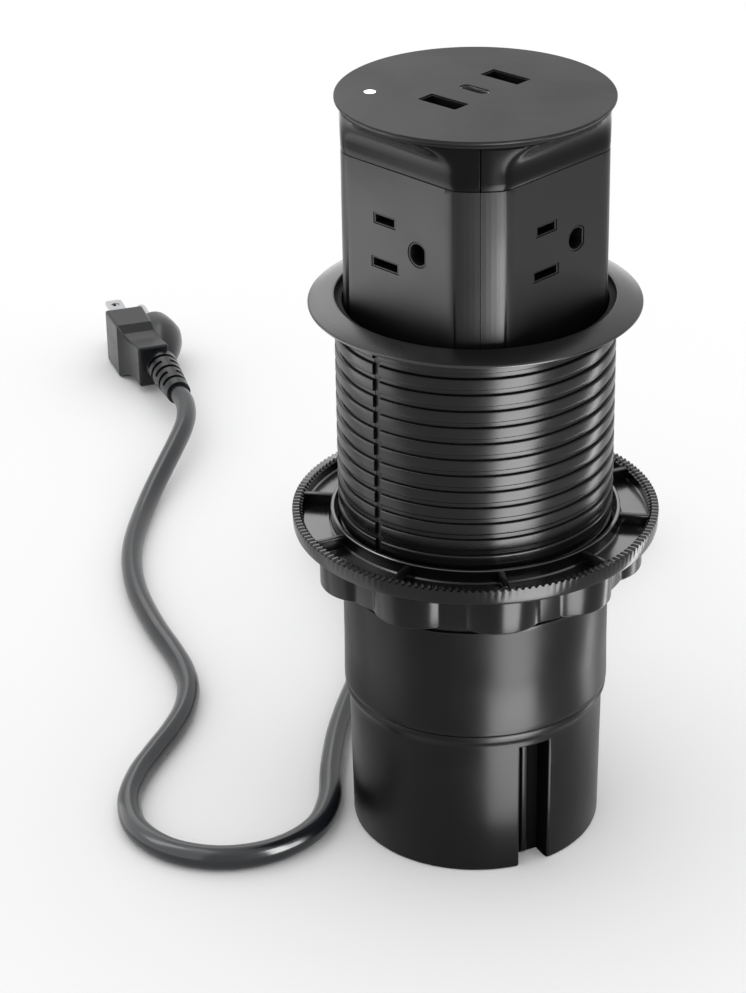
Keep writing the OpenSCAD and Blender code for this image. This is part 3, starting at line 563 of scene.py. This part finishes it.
# %% Tube of the barrel
tube = turned([
    (37.05, 46.6), (37.9, 46.6), (38.28, 46.8), (38.43, 47.05), (38.45, 48.5), (38.38, 53),
    (38.3, 60), (38.3, 80.4), (38.2, 80.6), (38.2, 165), (38.3, 165), (38.3, 165.8),
    (37.05, 165.8)])
keep(tube, "barrel_tube", "housing", "barrel")

# %% [markdown]
# The thread has wide flat crests and narrow grooves, and rises 4.85 mm a turn. A plain spin
# repeats the same ring, so this one also lifts its profile by one pitch in a full turn. One
# groove and one crest, repeated, make that profile. The spin stops short of a turn, because a
# keyway for the washer runs down the thread; the ends of the ridges are drawn in to the tube
# there, and two cuts end the thread at the flange and above the sleeve.

# %% Profile of the thread
PITCH, CREST, THREAD_STEPS = 4.85, 39.15, 178
KEY_TURN, KEY_HALF_WIDTH = -43.6, 1.15
GROOVES_BELOW, GROOVES_ABOVE, FIRST_GROOVE = 18, 2, 159.36
THREAD_LOW, THREAD_TOP, UNDER_SURFACE = 80.3, 165, 38.1
half_key = math.degrees(math.asin(KEY_HALF_WIDTH / CREST))
key_from = KEY_TURN + half_key
groove = [(-0.6, 38.3), (0.6, 38.3), (0.76, 38.75), (0.88, 39.02), (1.06, 39.12),
          (1.34, CREST), (3.51, CREST), (3.79, 39.12), (3.97, 39.02), (4.09, 38.75)]
thread = bmesh.new()
start_z = FIRST_GROOVE + PITCH * key_from / 360
ring = []
for k in range(-GROOVES_BELOW, GROOVES_ABOVE + 1):
    for dz, r in groove:
        ring.append(thread.verts.new((0, -r * MM, (start_z + k * PITCH + dz) * MM)))
rails = [thread.edges.new(pair) for pair in zip(ring, ring[1:])]
bmesh.ops.rotate(thread, verts=ring, cent=(0, 0, 0),
                 matrix=Matrix.Rotation(math.radians(key_from), 3, "Z"))
print("points in the profile:", len(ring))

# %% Spin and cuts
sweep = 360 - 2 * half_key
bmesh.ops.spin(thread, geom=ring + rails, cent=(0, 0, 0), axis=(0, 0, 1),
               dvec=(0, 0, PITCH * MM * sweep / 360 / THREAD_STEPS),
               angle=math.radians(sweep), steps=THREAD_STEPS)
for z, keep_below in ((THREAD_TOP, True), (THREAD_LOW, False)):
    bmesh.ops.bisect_plane(thread, geom=whole(thread),
                           plane_co=(0, 0, z * MM), plane_no=(0, 0, 1),
                           clear_outer=keep_below, clear_inner=not keep_below)
print("thread faces:", len(thread.faces))

# %% Ends of the ridges
open_edges = [e for e in thread.edges if e.is_boundary]
ridge_ends = bmesh.ops.extrude_edge_only(thread, edges=open_edges)["geom"]
for v in (g for g in ridge_ends if isinstance(g, bmesh.types.BMVert)):
    flat = Vector((v.co.x, v.co.y, 0))
    v.co -= flat * (1 - UNDER_SURFACE * MM / flat.length)
bmesh.ops.recalc_face_normals(thread, faces=thread.faces)
keep(thread, "clamp_thread", "housing", sharp=40)

# %% [markdown]
# ## Desk flange
# The flange rests on the desk and hides the edge of its hole: a thin ring with a fine outer edge
# that rises gently to the opening, so that the closed cap lies flush in it. It is turned too,
# with the rounding of its edge already in the profile.

# %% Flange ring
flange = turned([
    (38.35, 165.0), (45.9, 165.0), (46.25, 165.06), (46.4, 165.22), (46.4, 165.5),
    (46.32, 165.68), (46.1, 165.82), (45.5, 166.02), (44.8, 166.28), (43.2, 166.75),
    (41.5, 167.1), (40.2, 167.36), (39.45, 167.48), (39.2, 167.5), (39.06, 167.44),
    (39.0, 167.3), (39.0, 165.8), (38.35, 165.8)], steps=256)
keep(flange, "desk_ring", "housing", "desk_flange")

# %% [markdown]
# ## Clamp washer
# The washer is a dish: a rim with fine radial teeth that bite the underside of the desk, a
# floor, and a collar round the thread, joined by ribs. An Array of single teeth would leave
# joints between them. So the dish is turned in four steps a tooth, and the top points of every
# other pair of steps are then pushed down to cut the teeth.

# %% Rim, floor and collar
TEETH, TOOTH_STEPS, TOOTH_DEPTH = 168, 4, 0.62
RIM_TOP_FROM, RIM_INSIDE = 101.85, 49
washer = turned([
    (40.3, 96.8), (51.0, 96.8), (51.7, 96.95), (52.1, 97.3), (52.25, 97.9), (52.4, 101.3),
    (52.3, 101.9), (50.4, 101.9), (49.55, 100.9), (49.5, 98.5), (49.1, 98.15), (42.0, 98.1),
    (41.5, 98.4), (41.45, 99.0), (41.4, 101.7), (41.2, 101.9), (40.5, 101.9), (40.3, 101.7)],
    steps=TEETH * TOOTH_STEPS)
for v in washer.verts:
    if v.co.z > RIM_TOP_FROM * MM and math.hypot(v.co.x, v.co.y) > RIM_INSIDE * MM:
        share = math.degrees(math.atan2(v.co.y, v.co.x)) / 360
        if round(share * TEETH * TOOTH_STEPS) % TOOTH_STEPS > 1:
            v.co.z -= TOOTH_DEPTH * MM
keep(washer, "washer_dish", "washer", "clamp_washer", sharp=28)

# %% [markdown]
# Ten ribs tie the collar to the rim. Each starts as a cube, is stretched, bevelled and turned
# to its place. A small key on the collar runs in the thread's keyway.


# %% Ribs and key
def block(bm, low, high, turn, bevel=0.0, segments=2):
    """A box between two corners in millimetres, bevelled, turned about the axis by degrees."""
    made = bmesh.ops.create_cube(bm, size=1)["verts"]
    size = [(b - a) * MM for a, b in zip(low, high)]
    middle = [(a + b) / 2 * MM for a, b in zip(low, high)]
    bmesh.ops.scale(bm, vec=size, verts=made)
    bmesh.ops.translate(bm, vec=middle, verts=made)
    if bevel:
        edges = list({e for v in made for e in v.link_edges})
        rounded = round_edges(bm, edges, bevel, segments)
        made = list({v for f in rounded for v in f.verts} | {v for v in made if v.is_valid})
    bmesh.ops.rotate(bm, verts=made, cent=(0, 0, 0),
                     matrix=Matrix.Rotation(math.radians(turn), 3, "Z"))


RIBS, RIB_TURN = 10, 9.7
ribs = bmesh.new()
for i in range(RIBS):
    turn = RIB_TURN + 360 / RIBS * i
    block(ribs, (-1.0, -49.9, 97.6), (1.0, -40.9, 101.5), turn, bevel=0.3)
block(ribs, (-0.85, -40.7, 97.0), (0.85, -38.65, 101.5), KEY_TURN, bevel=0.15)
keep(ribs, "washer_ribs", "washer")

# %% [markdown]
# The same helper makes a thin round rib that runs down the back of the cup's channel.

# %% Rib in the channel
rib = bmesh.new()
block(rib, (-1.1, -30.9, 0.8), (1.1, -29.4, 40.2), CHANNEL_TURN, bevel=0.7, segments=4)
keep(rib, "channel_rib", "housing")

# %% [markdown]
# ## Lock nut
# The nut has ten soft lobes for the fingers. Its outline isn't round, so it can't be turned.
# A circle's points are pushed out where the lobes are, the outline is drawn in to the bore, and
# the flat ring is drawn down to the nut's height. Its outer edges then get a generous bevel.

# %% Outline of the grip
GRIP_RADIUS, NUT_BORE, NUT_TOP, NUT_HEIGHT = 44.4, 39.45, 96.5, 11.5
LOBE_TURN, LOBE_EVERY, LOBE_HALF, LOBE_HEIGHT, LOBE_POWER = 9.7, 36, 13.2, 3.6, 0.9
grip = bmesh.new()
outline = bmesh.ops.create_circle(
    grip, cap_ends=False, segments=480, radius=GRIP_RADIUS * MM)["verts"]
for v in outline:
    turn = math.degrees(math.atan2(v.co.x, -v.co.y))
    off = (turn - LOBE_TURN + LOBE_EVERY / 2) % LOBE_EVERY - LOBE_EVERY / 2
    push = max(0.0, 1 - (off / LOBE_HALF) ** 2) ** LOBE_POWER
    v.co *= 1 + LOBE_HEIGHT / GRIP_RADIUS * push
    v.co.z = NUT_TOP * MM
print("points in the outline:", len(outline))

# %% Solid of the nut
OUTLINE_FROM = 43
bore = bmesh.ops.extrude_edge_only(grip, edges=grip.edges[:])["geom"]
for v in (g for g in bore if isinstance(g, bmesh.types.BMVert)):
    set_radius(v, NUT_BORE)
lower = bmesh.ops.extrude_face_region(grip, geom=grip.faces[:])["geom"]
lower_points = [g for g in lower if isinstance(g, bmesh.types.BMVert)]
bmesh.ops.translate(grip, vec=(0, 0, -NUT_HEIGHT * MM), verts=lower_points)
bmesh.ops.recalc_face_normals(grip, faces=grip.faces)
grip_edges = [e for e in grip.edges if is_sharp(e, 1)
              and e.verts[0].co.xy.length > OUTLINE_FROM * MM
              and abs(e.verts[0].co.z - e.verts[1].co.z) < 1e-6]
round_edges(grip, grip_edges, 0.8, 4)
keep(grip, "nut_grip", "nut", "lock_nut")

# %% [markdown]
# ## Plug
# The plug lies on its flat side: a tapered body that carries two blades, and a rounded hood
# over the earth pin. Both are shaped in the plug's own frame with its pins along Y, because
# square sections are easy to read there, and are then turned and moved to where the lead ends.

# %% Solid through sections
PLUG_TURN = 20
PLUG = Matrix.Translation(Vector(lead_run[-1]) * MM) @ Matrix.Rotation(
    math.radians(PLUG_TURN), 4, "Z")


def tapered(bm, sections):
    """A solid through rectangles (y, x low, x high, half height), with loops between them."""
    loops = []
    for y, x0, x1, h in sections:
        rect = bmesh.ops.create_grid(bm, x_segments=1, y_segments=1, size=0.5)["verts"]
        bmesh.ops.rotate(bm, verts=rect, cent=(0, 0, 0),
                         matrix=Matrix.Rotation(math.radians(90), 3, "X"))
        bmesh.ops.scale(bm, vec=((x1 - x0) * MM, 1, 2 * h * MM), verts=rect)
        bmesh.ops.translate(bm, vec=((x0 + x1) / 2 * MM, y * MM, 0), verts=rect)
        loops.append(rect)
    sections_filled = [loop[0].link_faces[0] for loop in loops]
    for a, b in zip(loops, loops[1:]):
        both = list({e for v in a + b for e in v.link_edges
                     if set(e.verts) <= set(a) or set(e.verts) <= set(b)})
        bmesh.ops.bridge_loops(bm, edges=both)
    bmesh.ops.delete(bm, geom=sections_filled[1:-1], context="FACES_ONLY")
    bmesh.ops.recalc_face_normals(bm, faces=bm.faces)


# %% Body of the plug
body = bmesh.new()
tapered(body, [
    (27, -8.5, 3.5, 8.3), (30.5, -8.7, 3.3, 8.0), (34.5, -9.2, 2.9, 7.6), (38, -10.0, 2.5, 7.7),
    (41.5, -11.2, 2.0, 8.6), (45, -12.5, 1.7, 10.9), (62, -13.0, 2.0, 10.6)])
round_edges(body, [e for e in body.edges if is_sharp(e)], 0.9, 3)
bmesh.ops.transform(body, matrix=PLUG, verts=body.verts)
plug_block = keep(body, "plug_block", "housing", "plug_body", sharp=14)

# %% [markdown]
# The hood is turned about the plug's long axis. Its points are then moved sideways, more
# towards the pins, so that it leans out of the body.

# %% Hood of the plug
HOOD_ASIDE, HOOD_LEAN, LEAN_FROM, LEAN_LENGTH = 1.0, 4.95, 27, 22
hood = bmesh.new()
hood_line = [(0.0, 28.5), (1.6, 28.8), (3.4, 30.2), (5.0, 32.8), (6.4, 36.4), (7.5, 40.6),
             (8.3, 45.5), (8.6, 50.5), (8.3, 55.5), (7.7, 60), (7.5, 61.3), (7.1, 61.8),
             (6.5, 62), (0.0, 62)]
hood_verts = [hood.verts.new((r * MM, y * MM, 0)) for r, y in hood_line]
hood_edges = [hood.edges.new(pair) for pair in zip(hood_verts, hood_verts[1:])]
bmesh.ops.spin(hood, geom=hood_verts + hood_edges, cent=(0, 0, 0), axis=(0, 1, 0),
               angle=2 * math.pi, steps=64, use_merge=True)
bmesh.ops.remove_doubles(hood, verts=hood.verts, dist=1e-6)
for v in hood.verts:
    v.co.x += (HOOD_ASIDE + HOOD_LEAN * min(1, (v.co.y / MM - LEAN_FROM) / LEAN_LENGTH)) * MM
bmesh.ops.recalc_face_normals(hood, faces=hood.faces)
bmesh.ops.transform(hood, matrix=PLUG, verts=hood.verts)
plug_hood = keep(hood, "plug_hood", "housing", sharp=60)

# %% [markdown]

print("cord declared:", mains_lead.name)

# %% [markdown]
# ## Finishes
# The whole socket is black moulded plastic, but in several finishes. Each gets a slightly
# uneven roughness, so that its reflections break up as they do on real mouldings, and a fine
# grain in the bump. One function makes them all, so they differ only in the values that tell
# them apart. The patterns are solid ones on Object coordinates, so they need no unwrapping and
# stay put when the tower slides.


# %% Moulded plastic
PATCH = 18.0


def set_inputs(node, values):
    """Sets the values of a node's sockets by their names."""
    for socket, value in values.items():
        node.inputs[socket].default_value = value


def moulded_plastic(name, dark, light, rough, grain, bump, shine=0.5):
    """Plastic between two colours, with roughness (low, high), grain and bump in millimetres."""
    mat = bpy.data.materials.new(name)
    mat.use_nodes = True
    tree = mat.node_tree
    shader = tree.nodes["Principled BSDF"]
    place = tree.nodes.new("ShaderNodeTexCoord")
    cloud = tree.nodes.new("ShaderNodeTexNoise")
    set_inputs(cloud, {"Scale": 1000 / PATCH, "Detail": 5})
    speck = tree.nodes.new("ShaderNodeTexNoise")
    set_inputs(speck, {"Scale": 1000 / grain, "Detail": 3})
    tint = tree.nodes.new("ShaderNodeMix")
    tint.data_type = "RGBA"
    set_inputs(tint, {"A": (*dark, 1), "B": (*light, 1)})
    gloss = tree.nodes.new("ShaderNodeMapRange")
    set_inputs(gloss, {"From Min": 0.3, "From Max": 0.7, "To Min": rough[0], "To Max": rough[1]})
    relief = tree.nodes.new("ShaderNodeBump")
    set_inputs(relief, {"Strength": 1.0, "Distance": bump * MM})
    link = tree.links.new
    for texture in (cloud, speck):
        link(place.outputs["Object"], texture.inputs["Vector"])
    link(cloud.outputs["Fac"], tint.inputs["Factor"])
    link(tint.outputs["Result"], shader.inputs["Base Color"])
    link(cloud.outputs["Fac"], gloss.inputs["Value"])
    link(gloss.outputs["Result"], shader.inputs["Roughness"])
    link(speck.outputs["Fac"], relief.inputs["Height"])
    link(relief.outputs["Normal"], shader.inputs["Normal"])
    set_inputs(shader, {"Specular IOR Level": shine})
    return mat


# %% [markdown]
# Black plastic shows mostly what it mirrors. So the colours are all nearly black, and the
# finishes differ in roughness and shine: satin for the tower and the cup, gloss for the parts
# that clamp, and more colour in the sheath of the lead.

# %% Blacks of the socket
satin = moulded_plastic("satin_black", (0.002, 0.002, 0.0022), (0.0035, 0.0035, 0.0038),
                        (0.3, 0.38), 0.25, 0.003, shine=0.16)
tower_satin = moulded_plastic("tower_black", (0.0025, 0.0025, 0.0028), (0.0045, 0.0045, 0.005),
                              (0.34, 0.42), 0.25, 0.003, shine=0.3)
cap_satin = moulded_plastic("cap_black", (0.008, 0.008, 0.0085), (0.011, 0.011, 0.0115),
                            (0.36, 0.44), 0.22, 0.004, shine=0.25)
flange_gloss = moulded_plastic("flange_black", (0.003, 0.003, 0.003), (0.005, 0.005, 0.005),
                               (0.26, 0.34), 0.25, 0.003)
nut_gloss = moulded_plastic("nut_black", (0.002, 0.002, 0.0022), (0.004, 0.004, 0.0044),
                            (0.2, 0.3), 0.6, 0.003, shine=0.19)
clamp_gloss = moulded_plastic("clamp_black", (0.002, 0.002, 0.0022), (0.004, 0.004, 0.0044),
                              (0.18, 0.27), 0.6, 0.003, shine=0.24)
washer_polish = moulded_plastic("washer_polish", (0.003, 0.003, 0.0033),
                                (0.006, 0.006, 0.0065), (0.16, 0.24), 0.6, 0.003, shine=0.7)
# The neck's black is smoother than the tower's, but darker and with a much weaker reflection: that
# darkness is painted shade under the cap's rim.
neck_gloss_and_shade = moulded_plastic("neck_black", (0.0015, 0.0015, 0.0017), (0.003, 0.003, 0.0033),
                             (0.2, 0.28), 0.25, 0.003, shine=0.09)
thread_gloss = moulded_plastic("thread_black", (0.002, 0.002, 0.0022), (0.004, 0.004, 0.0045),
                               (0.22, 0.32), 0.5, 0.005, shine=0.24)
socket_black = moulded_plastic("socket_black", (0.0015, 0.0015, 0.0015), (0.003, 0.003, 0.003),
                               (0.35, 0.5), 0.4, 0.003, shine=0.24)
print("blacks of the socket:", len(bpy.data.materials))

# %% Cord, plug and inner parts
cord_black = moulded_plastic("cord_black", (0.006, 0.007, 0.0095), (0.01, 0.0115, 0.015),
                             (0.18, 0.26), 0.35, 0.004)
plug_black = moulded_plastic("plug_black", (0.004, 0.0045, 0.006), (0.007, 0.0075, 0.009),
                             (0.2, 0.3), 0.3, 0.003, shine=0.3)
light_plastic = moulded_plastic("light_plastic", (0.6, 0.6, 0.57), (0.72, 0.72, 0.69),
                                (0.35, 0.5), 0.4, 0.005)
board_green = moulded_plastic("board_green", (0.02, 0.1, 0.04), (0.035, 0.16, 0.07),
                              (0.3, 0.45), 1.2, 0.01)
wire_green = moulded_plastic("wire_green", (0.04, 0.2, 0.07), (0.05, 0.26, 0.1),
                             (0.3, 0.4), 0.4, 0.004)
# A darker black with almost no shine for the inside of the cup's channel: painted shade in its
# recess, on top of a rough finish.
channel_shade_black = moulded_plastic("channel_shade_black", (0.001, 0.001, 0.001), (0.002, 0.002, 0.002),
                                (0.6, 0.75), 0.3, 0.006, shine=0.01)
seal_black = moulded_plastic("seal_black", (0.006, 0.006, 0.006), (0.01, 0.01, 0.01),
                             (0.6, 0.75), 0.3, 0.01, shine=0.2)
print("plastics:", len(bpy.data.materials))

# %% [markdown]
# The pins, ports, screws and springs are drawn or rolled metal. Its fine marks come from a noise
# that a Mapping node stretches along one axis, and they change colour and roughness a little.


# %% Metals
def worked_metal(name, colour, rough, grain, stretch=(1, 1, 1)):
    """Metal with fine drawn marks along the axis that has the smallest scale."""
    mat = bpy.data.materials.new(name)
    mat.use_nodes = True
    tree = mat.node_tree
    shader = tree.nodes["Principled BSDF"]
    set_inputs(shader, {"Metallic": 1})
    place = tree.nodes.new("ShaderNodeTexCoord")
    mapping = tree.nodes.new("ShaderNodeMapping")
    set_inputs(mapping, {"Scale": stretch})
    marks = tree.nodes.new("ShaderNodeTexNoise")
    set_inputs(marks, {"Scale": 1000 / grain, "Detail": 4})
    tint = tree.nodes.new("ShaderNodeMix")
    tint.data_type = "RGBA"
    set_inputs(tint, {"A": (*[c * 0.88 for c in colour], 1), "B": (*colour, 1)})
    gloss = tree.nodes.new("ShaderNodeMapRange")
    set_inputs(gloss, {"To Min": rough[0], "To Max": rough[1]})
    link = tree.links.new
    link(place.outputs["Object"], mapping.inputs["Vector"])
    link(mapping.outputs["Vector"], marks.inputs["Vector"])
    link(marks.outputs["Fac"], tint.inputs["Factor"])
    link(tint.outputs["Result"], shader.inputs["Base Color"])
    link(marks.outputs["Fac"], gloss.inputs["Value"])
    link(gloss.outputs["Result"], shader.inputs["Roughness"])
    return mat


nickel = worked_metal("bright_nickel", (0.56, 0.57, 0.59), (0.12, 0.24), 1.5, (1, 0.2, 1))
port_metal = worked_metal("port_nickel", (0.6, 0.61, 0.62), (0.22, 0.38), 0.8, (1, 1, 0.2))
dark_port = worked_metal("dark_port", (0.05, 0.05, 0.054), (0.3, 0.45), 0.8, (1, 1, 0.2))
zinc = worked_metal("zinc_screw", (0.62, 0.63, 0.66), (0.25, 0.4), 0.6)
spring_metal = worked_metal("spring_steel", (0.5, 0.51, 0.53), (0.2, 0.35), 0.5, (0.2, 1, 1))
brass = worked_metal("contact_brass", (0.78, 0.58, 0.26), (0.2, 0.35), 0.7)
print("with the metals:", len(bpy.data.materials))

# %% [markdown]
# The small lamp in the cap is lit. Its lens glows only a little above white, so it stays a lens
# and doesn't light the cap around it.

# %% Lamp lens
lens_glow = bpy.data.materials.new("lamp_lens")
lens_glow.use_nodes = True
lens_tree = lens_glow.node_tree
lens_shader = lens_tree.nodes["Principled BSDF"]
lens_place = lens_tree.nodes.new("ShaderNodeTexCoord")
lens_noise = lens_tree.nodes.new("ShaderNodeTexNoise")
set_inputs(lens_noise, {"Scale": 700})
lens_range = lens_tree.nodes.new("ShaderNodeMapRange")
set_inputs(lens_range, {"To Min": 0.15, "To Max": 0.35})
lens_tree.links.new(lens_place.outputs["Object"], lens_noise.inputs["Vector"])
lens_tree.links.new(lens_noise.outputs["Fac"], lens_range.inputs["Value"])
lens_tree.links.new(lens_range.outputs["Result"], lens_shader.inputs["Roughness"])
set_inputs(lens_shader, {"Base Color": (0.95, 0.96, 1.0, 1), "Emission Strength": 1.6,
                         "Emission Color": (0.95, 0.97, 1.0, 1)})
print("with the lens:", len(bpy.data.materials))

# %% [markdown]
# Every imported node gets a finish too, also those that a new piece stands for, so the packed
# model looks right on its own.


# %% Give every part its finish
def finish(name, material):
    """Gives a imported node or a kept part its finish."""
    part = nodes.get(name) or bpy.data.objects[name]
    part.data.materials.clear()
    part.data.materials.append(material)


finishes = {
    satin: ["base_cup", "cup_core", "cup_wall", "channel_rib", "barrel_tube", "barrel",
            "tower_foot"],
    tower_satin: ["shell_left", "shell_right", "shell_skin_left", "shell_skin_right"],
    neck_gloss_and_shade: ["neck_left", "neck_right", "neck_half_left", "neck_half_right"],
    cap_satin: ["top_cap"],
    flange_gloss: ["desk_ring", "desk_flange"],
    clamp_gloss: ["washer_dish", "washer_ribs", "clamp_washer"],
    nut_gloss: ["nut_grip", "lock_nut"],
    thread_gloss: ["clamp_thread"],
    socket_black: ["outlet_1", "outlet_2", "outlet_3", "outlet_4", "port_tongues"],
    cord_black: ["strain_relief", "lead_tail", "lead_start", "lead_coil", "lead_run",
                 "mains_lead"],
    plug_black: ["plug_relief", "plug_body", "plug_block", "plug_hood"],
    seal_black: ["cap_seal", "lead_grommet", "coil_tie"],
    light_plastic: ["cord_clamp", "terminal_block", "lead_curl", "curly_lead"],
    board_green: ["usb_supply", "usb_board"],
    wire_green: ["feed_wires"],
    nickel: ["plug_blades", "plug_earth_pin"],
    port_metal: ["usb_c_port"],
    dark_port: ["usb_a_port_1", "usb_a_port_2"],
    zinc: ["base_screws", "clamp_screws", "foot_screws"],
    spring_metal: ["hold_springs"],
    brass: ["line_contacts", "neutral_contacts", "earth_contacts", "terminal_screws"],
    lens_glow: ["led_lens"]}
for material, names in finishes.items():
    for name in names:
        finish(name, material)
print("finished parts:", sum(len(names) for names in finishes.values()))

# %% [markdown]
# Some mouldings have two finishes. The washer's level faces are polished, so its pockets shine.
# The bore of the barrel and the flange's opening are left rough. The inside of the cup's channel
# is rough too, and its black is darker and shines hardly at all: painted shade in the deep recess.
# A second material slot takes those faces, picked by where they face or where they are.


# %% Second finish on some faces
def second_finish(name, material, wanted):
    """Gives the wanted faces of a part a second material."""
    part = bpy.data.objects[name]
    part.data.materials.append(material)
    picked = [f for f in part.data.polygons if wanted(f)]
    for face in picked:
        face.material_index = 1
    print(name, "second finish on", len(picked), "faces")


def from_axis(face):
    """Millimetres between the middle of a face and the socket's axis."""
    return math.hypot(face.center.x, face.center.y) / MM


IN_BORE, ABOVE_THREAD, IN_OPENING, IN_CHANNEL = 37.3, 165.5, 39.12, 35.9
second_finish("washer_dish", washer_polish, lambda f: f.normal.z > 0.5)
second_finish("barrel_tube", seal_black,
              lambda f: f.center.z > ABOVE_THREAD * MM or from_axis(f) < IN_BORE)
second_finish("desk_ring", seal_black, lambda f: from_axis(f) < IN_OPENING)
# The inside of the channel takes the painted shade.
second_finish("cup_wall", channel_shade_black, lambda f: in_channel(f.center, 0.3)
              and f.center.dot(out_from_axis) < IN_CHANNEL * MM)

# %% [markdown]
# ## Studio
# The floor is a plain white sheet for every ray, so it takes the shadow and the black plastic
# mirrors it. A large panel overhead and the sky light everything at a plain level.

# %% Floor
FLOOR_HALF, FLOOR_WHITE = 6, 0.955
floor_bm = bmesh.new()
bmesh.ops.create_grid(floor_bm, x_segments=1, y_segments=1, size=FLOOR_HALF)
floor_mesh = bpy.data.meshes.new("floor")
floor_bm.to_mesh(floor_mesh)
floor_bm.free()
floor = bpy.data.objects.new("floor", floor_mesh)
bpy.context.scene.collection.objects.link(floor)
floor_paint = bpy.data.materials.new("floor")
floor_paint.use_nodes = True
paint = floor_paint.node_tree.nodes["Principled BSDF"]
set_inputs(paint, {"Base Color": (FLOOR_WHITE, FLOOR_WHITE, FLOOR_WHITE, 1),
                   "Roughness": 0.9, "Specular IOR Level": 0})
floor_mesh.materials.append(floor_paint)
print("floor:", tuple(floor.dimensions))

# %% [markdown]
# Upright black walls show little but what they mirror, so tall strips stand round the socket: a
# strong one at the front right, a thin one at the right, two wide ones at the left. Panels do
# the same for the flange, for the washer's pockets and for the cord. All of these show in
# reflections only, so they leave the colours as they are.


# %% Lamps
def soft_lamp(name, place, aim, width, height, glow):
    """A rectangular lamp at a place in metres, turned to a point, with a brightness."""
    data = bpy.data.lights.new(name, "AREA")
    data.shape = "RECTANGLE"
    data.size = width
    data.size_y = height
    data.energy = glow * math.pi * width * height
    lamp = bpy.data.objects.new(name, data)
    bpy.context.scene.collection.objects.link(lamp)
    lamp.location = place
    lamp.rotation_euler = (Vector(aim) - Vector(place)).to_track_quat("-Z", "Y").to_euler()
    lamp.visible_camera = False
    return lamp


def gloss_panel(name, place, aim, width, height, glow):
    """A soft lamp that shows in reflections only."""
    soft_lamp(name, place, aim, width, height, glow).visible_diffuse = False


def gloss_strip(name, turn, away, width, heights, glow):
    """An upright strip between two heights, turned from the front, that shows in gloss only."""
    turn = math.radians(turn)
    low, high = heights
    place = (away * math.sin(turn), -away * math.cos(turn), (low + high) / 2)
    gloss_panel(name, place, (0, 0, place[2]), width, high - low, glow)


# %% Place the lamps
gloss_strip("key_strip", 29, 0.14, 0.074, (0.003, 0.163), 17.5)
gloss_strip("key_foot", 22, 0.058, 0.03, (0.002, 0.05), 12)
gloss_strip("right_strip", 96, 0.1, 0.016, (0.003, 0.13), 8)
gloss_strip("left_tall", -80, 0.11, 0.09, (0.11, 0.185), 3.2)
gloss_strip("left_low", -72, 0.11, 0.075, (0.003, 0.11), 1.1)
soft_lamp("overhead", (-0.2, 0.15, 3.2), (0, 0, 0), 4.4, 4.4, 0.36)
gloss_panel("back_panel", (-0.35, 0.75, 0.62), (0, 0, 0.17), 0.5, 0.4, 1.7)
gloss_panel("cord_panel", (-0.7, 0.0, 0.75), (-0.1, 0.1, 0), 0.25, 0.7, 5)
for side, name in ((-1, "washer_left"), (1, "washer_right")):
    gloss_panel(name, (side * 0.053, 0.12, 0.166), (side * 0.046, 0, 0.1), 0.046, 0.046, 1.5)

# %% [markdown]
# The sky is a little below white where it lights the socket. For the camera, for reflections
# and through see-through parts a Light Path node takes plain white instead.

# %% Sky
SKY_LEVEL = 0.92
world = bpy.data.worlds.new("studio")
bpy.context.scene.world = world
world.use_nodes = True
sky_nodes = world.node_tree.nodes
link = world.node_tree.links.new
sky = sky_nodes["Background"]
set_inputs(sky, {"Color": (1, 1, 1, 1), "Strength": SKY_LEVEL})
white = sky_nodes.new("ShaderNodeBackground")
set_inputs(white, {"Color": (1, 1, 1, 1), "Strength": 1})
ray = sky_nodes.new("ShaderNodeLightPath")
seen = ray.outputs["Is Camera Ray"]
for also in ("Is Glossy Ray", "Is Transmission Ray"):
    either = sky_nodes.new("ShaderNodeMath")
    either.operation = "MAXIMUM"
    link(seen, either.inputs[0])
    link(ray.outputs[also], either.inputs[1])
    seen = either.outputs[0]
blend = sky_nodes.new("ShaderNodeMixShader")
link(seen, blend.inputs[0])
link(sky.outputs[0], blend.inputs[1])
link(white.outputs[0], blend.inputs[2])
link(blend.outputs[0], sky_nodes["World Output"].inputs["Surface"])
bpy.context.scene.view_settings.view_transform = "Standard"
print("sky:", round(sky.inputs["Strength"].default_value, 2))

# %% [markdown]
# ## Last update
# The scene is brought up to date once more.

# %% Bring the scene up to date
bpy.context.view_layer.update()
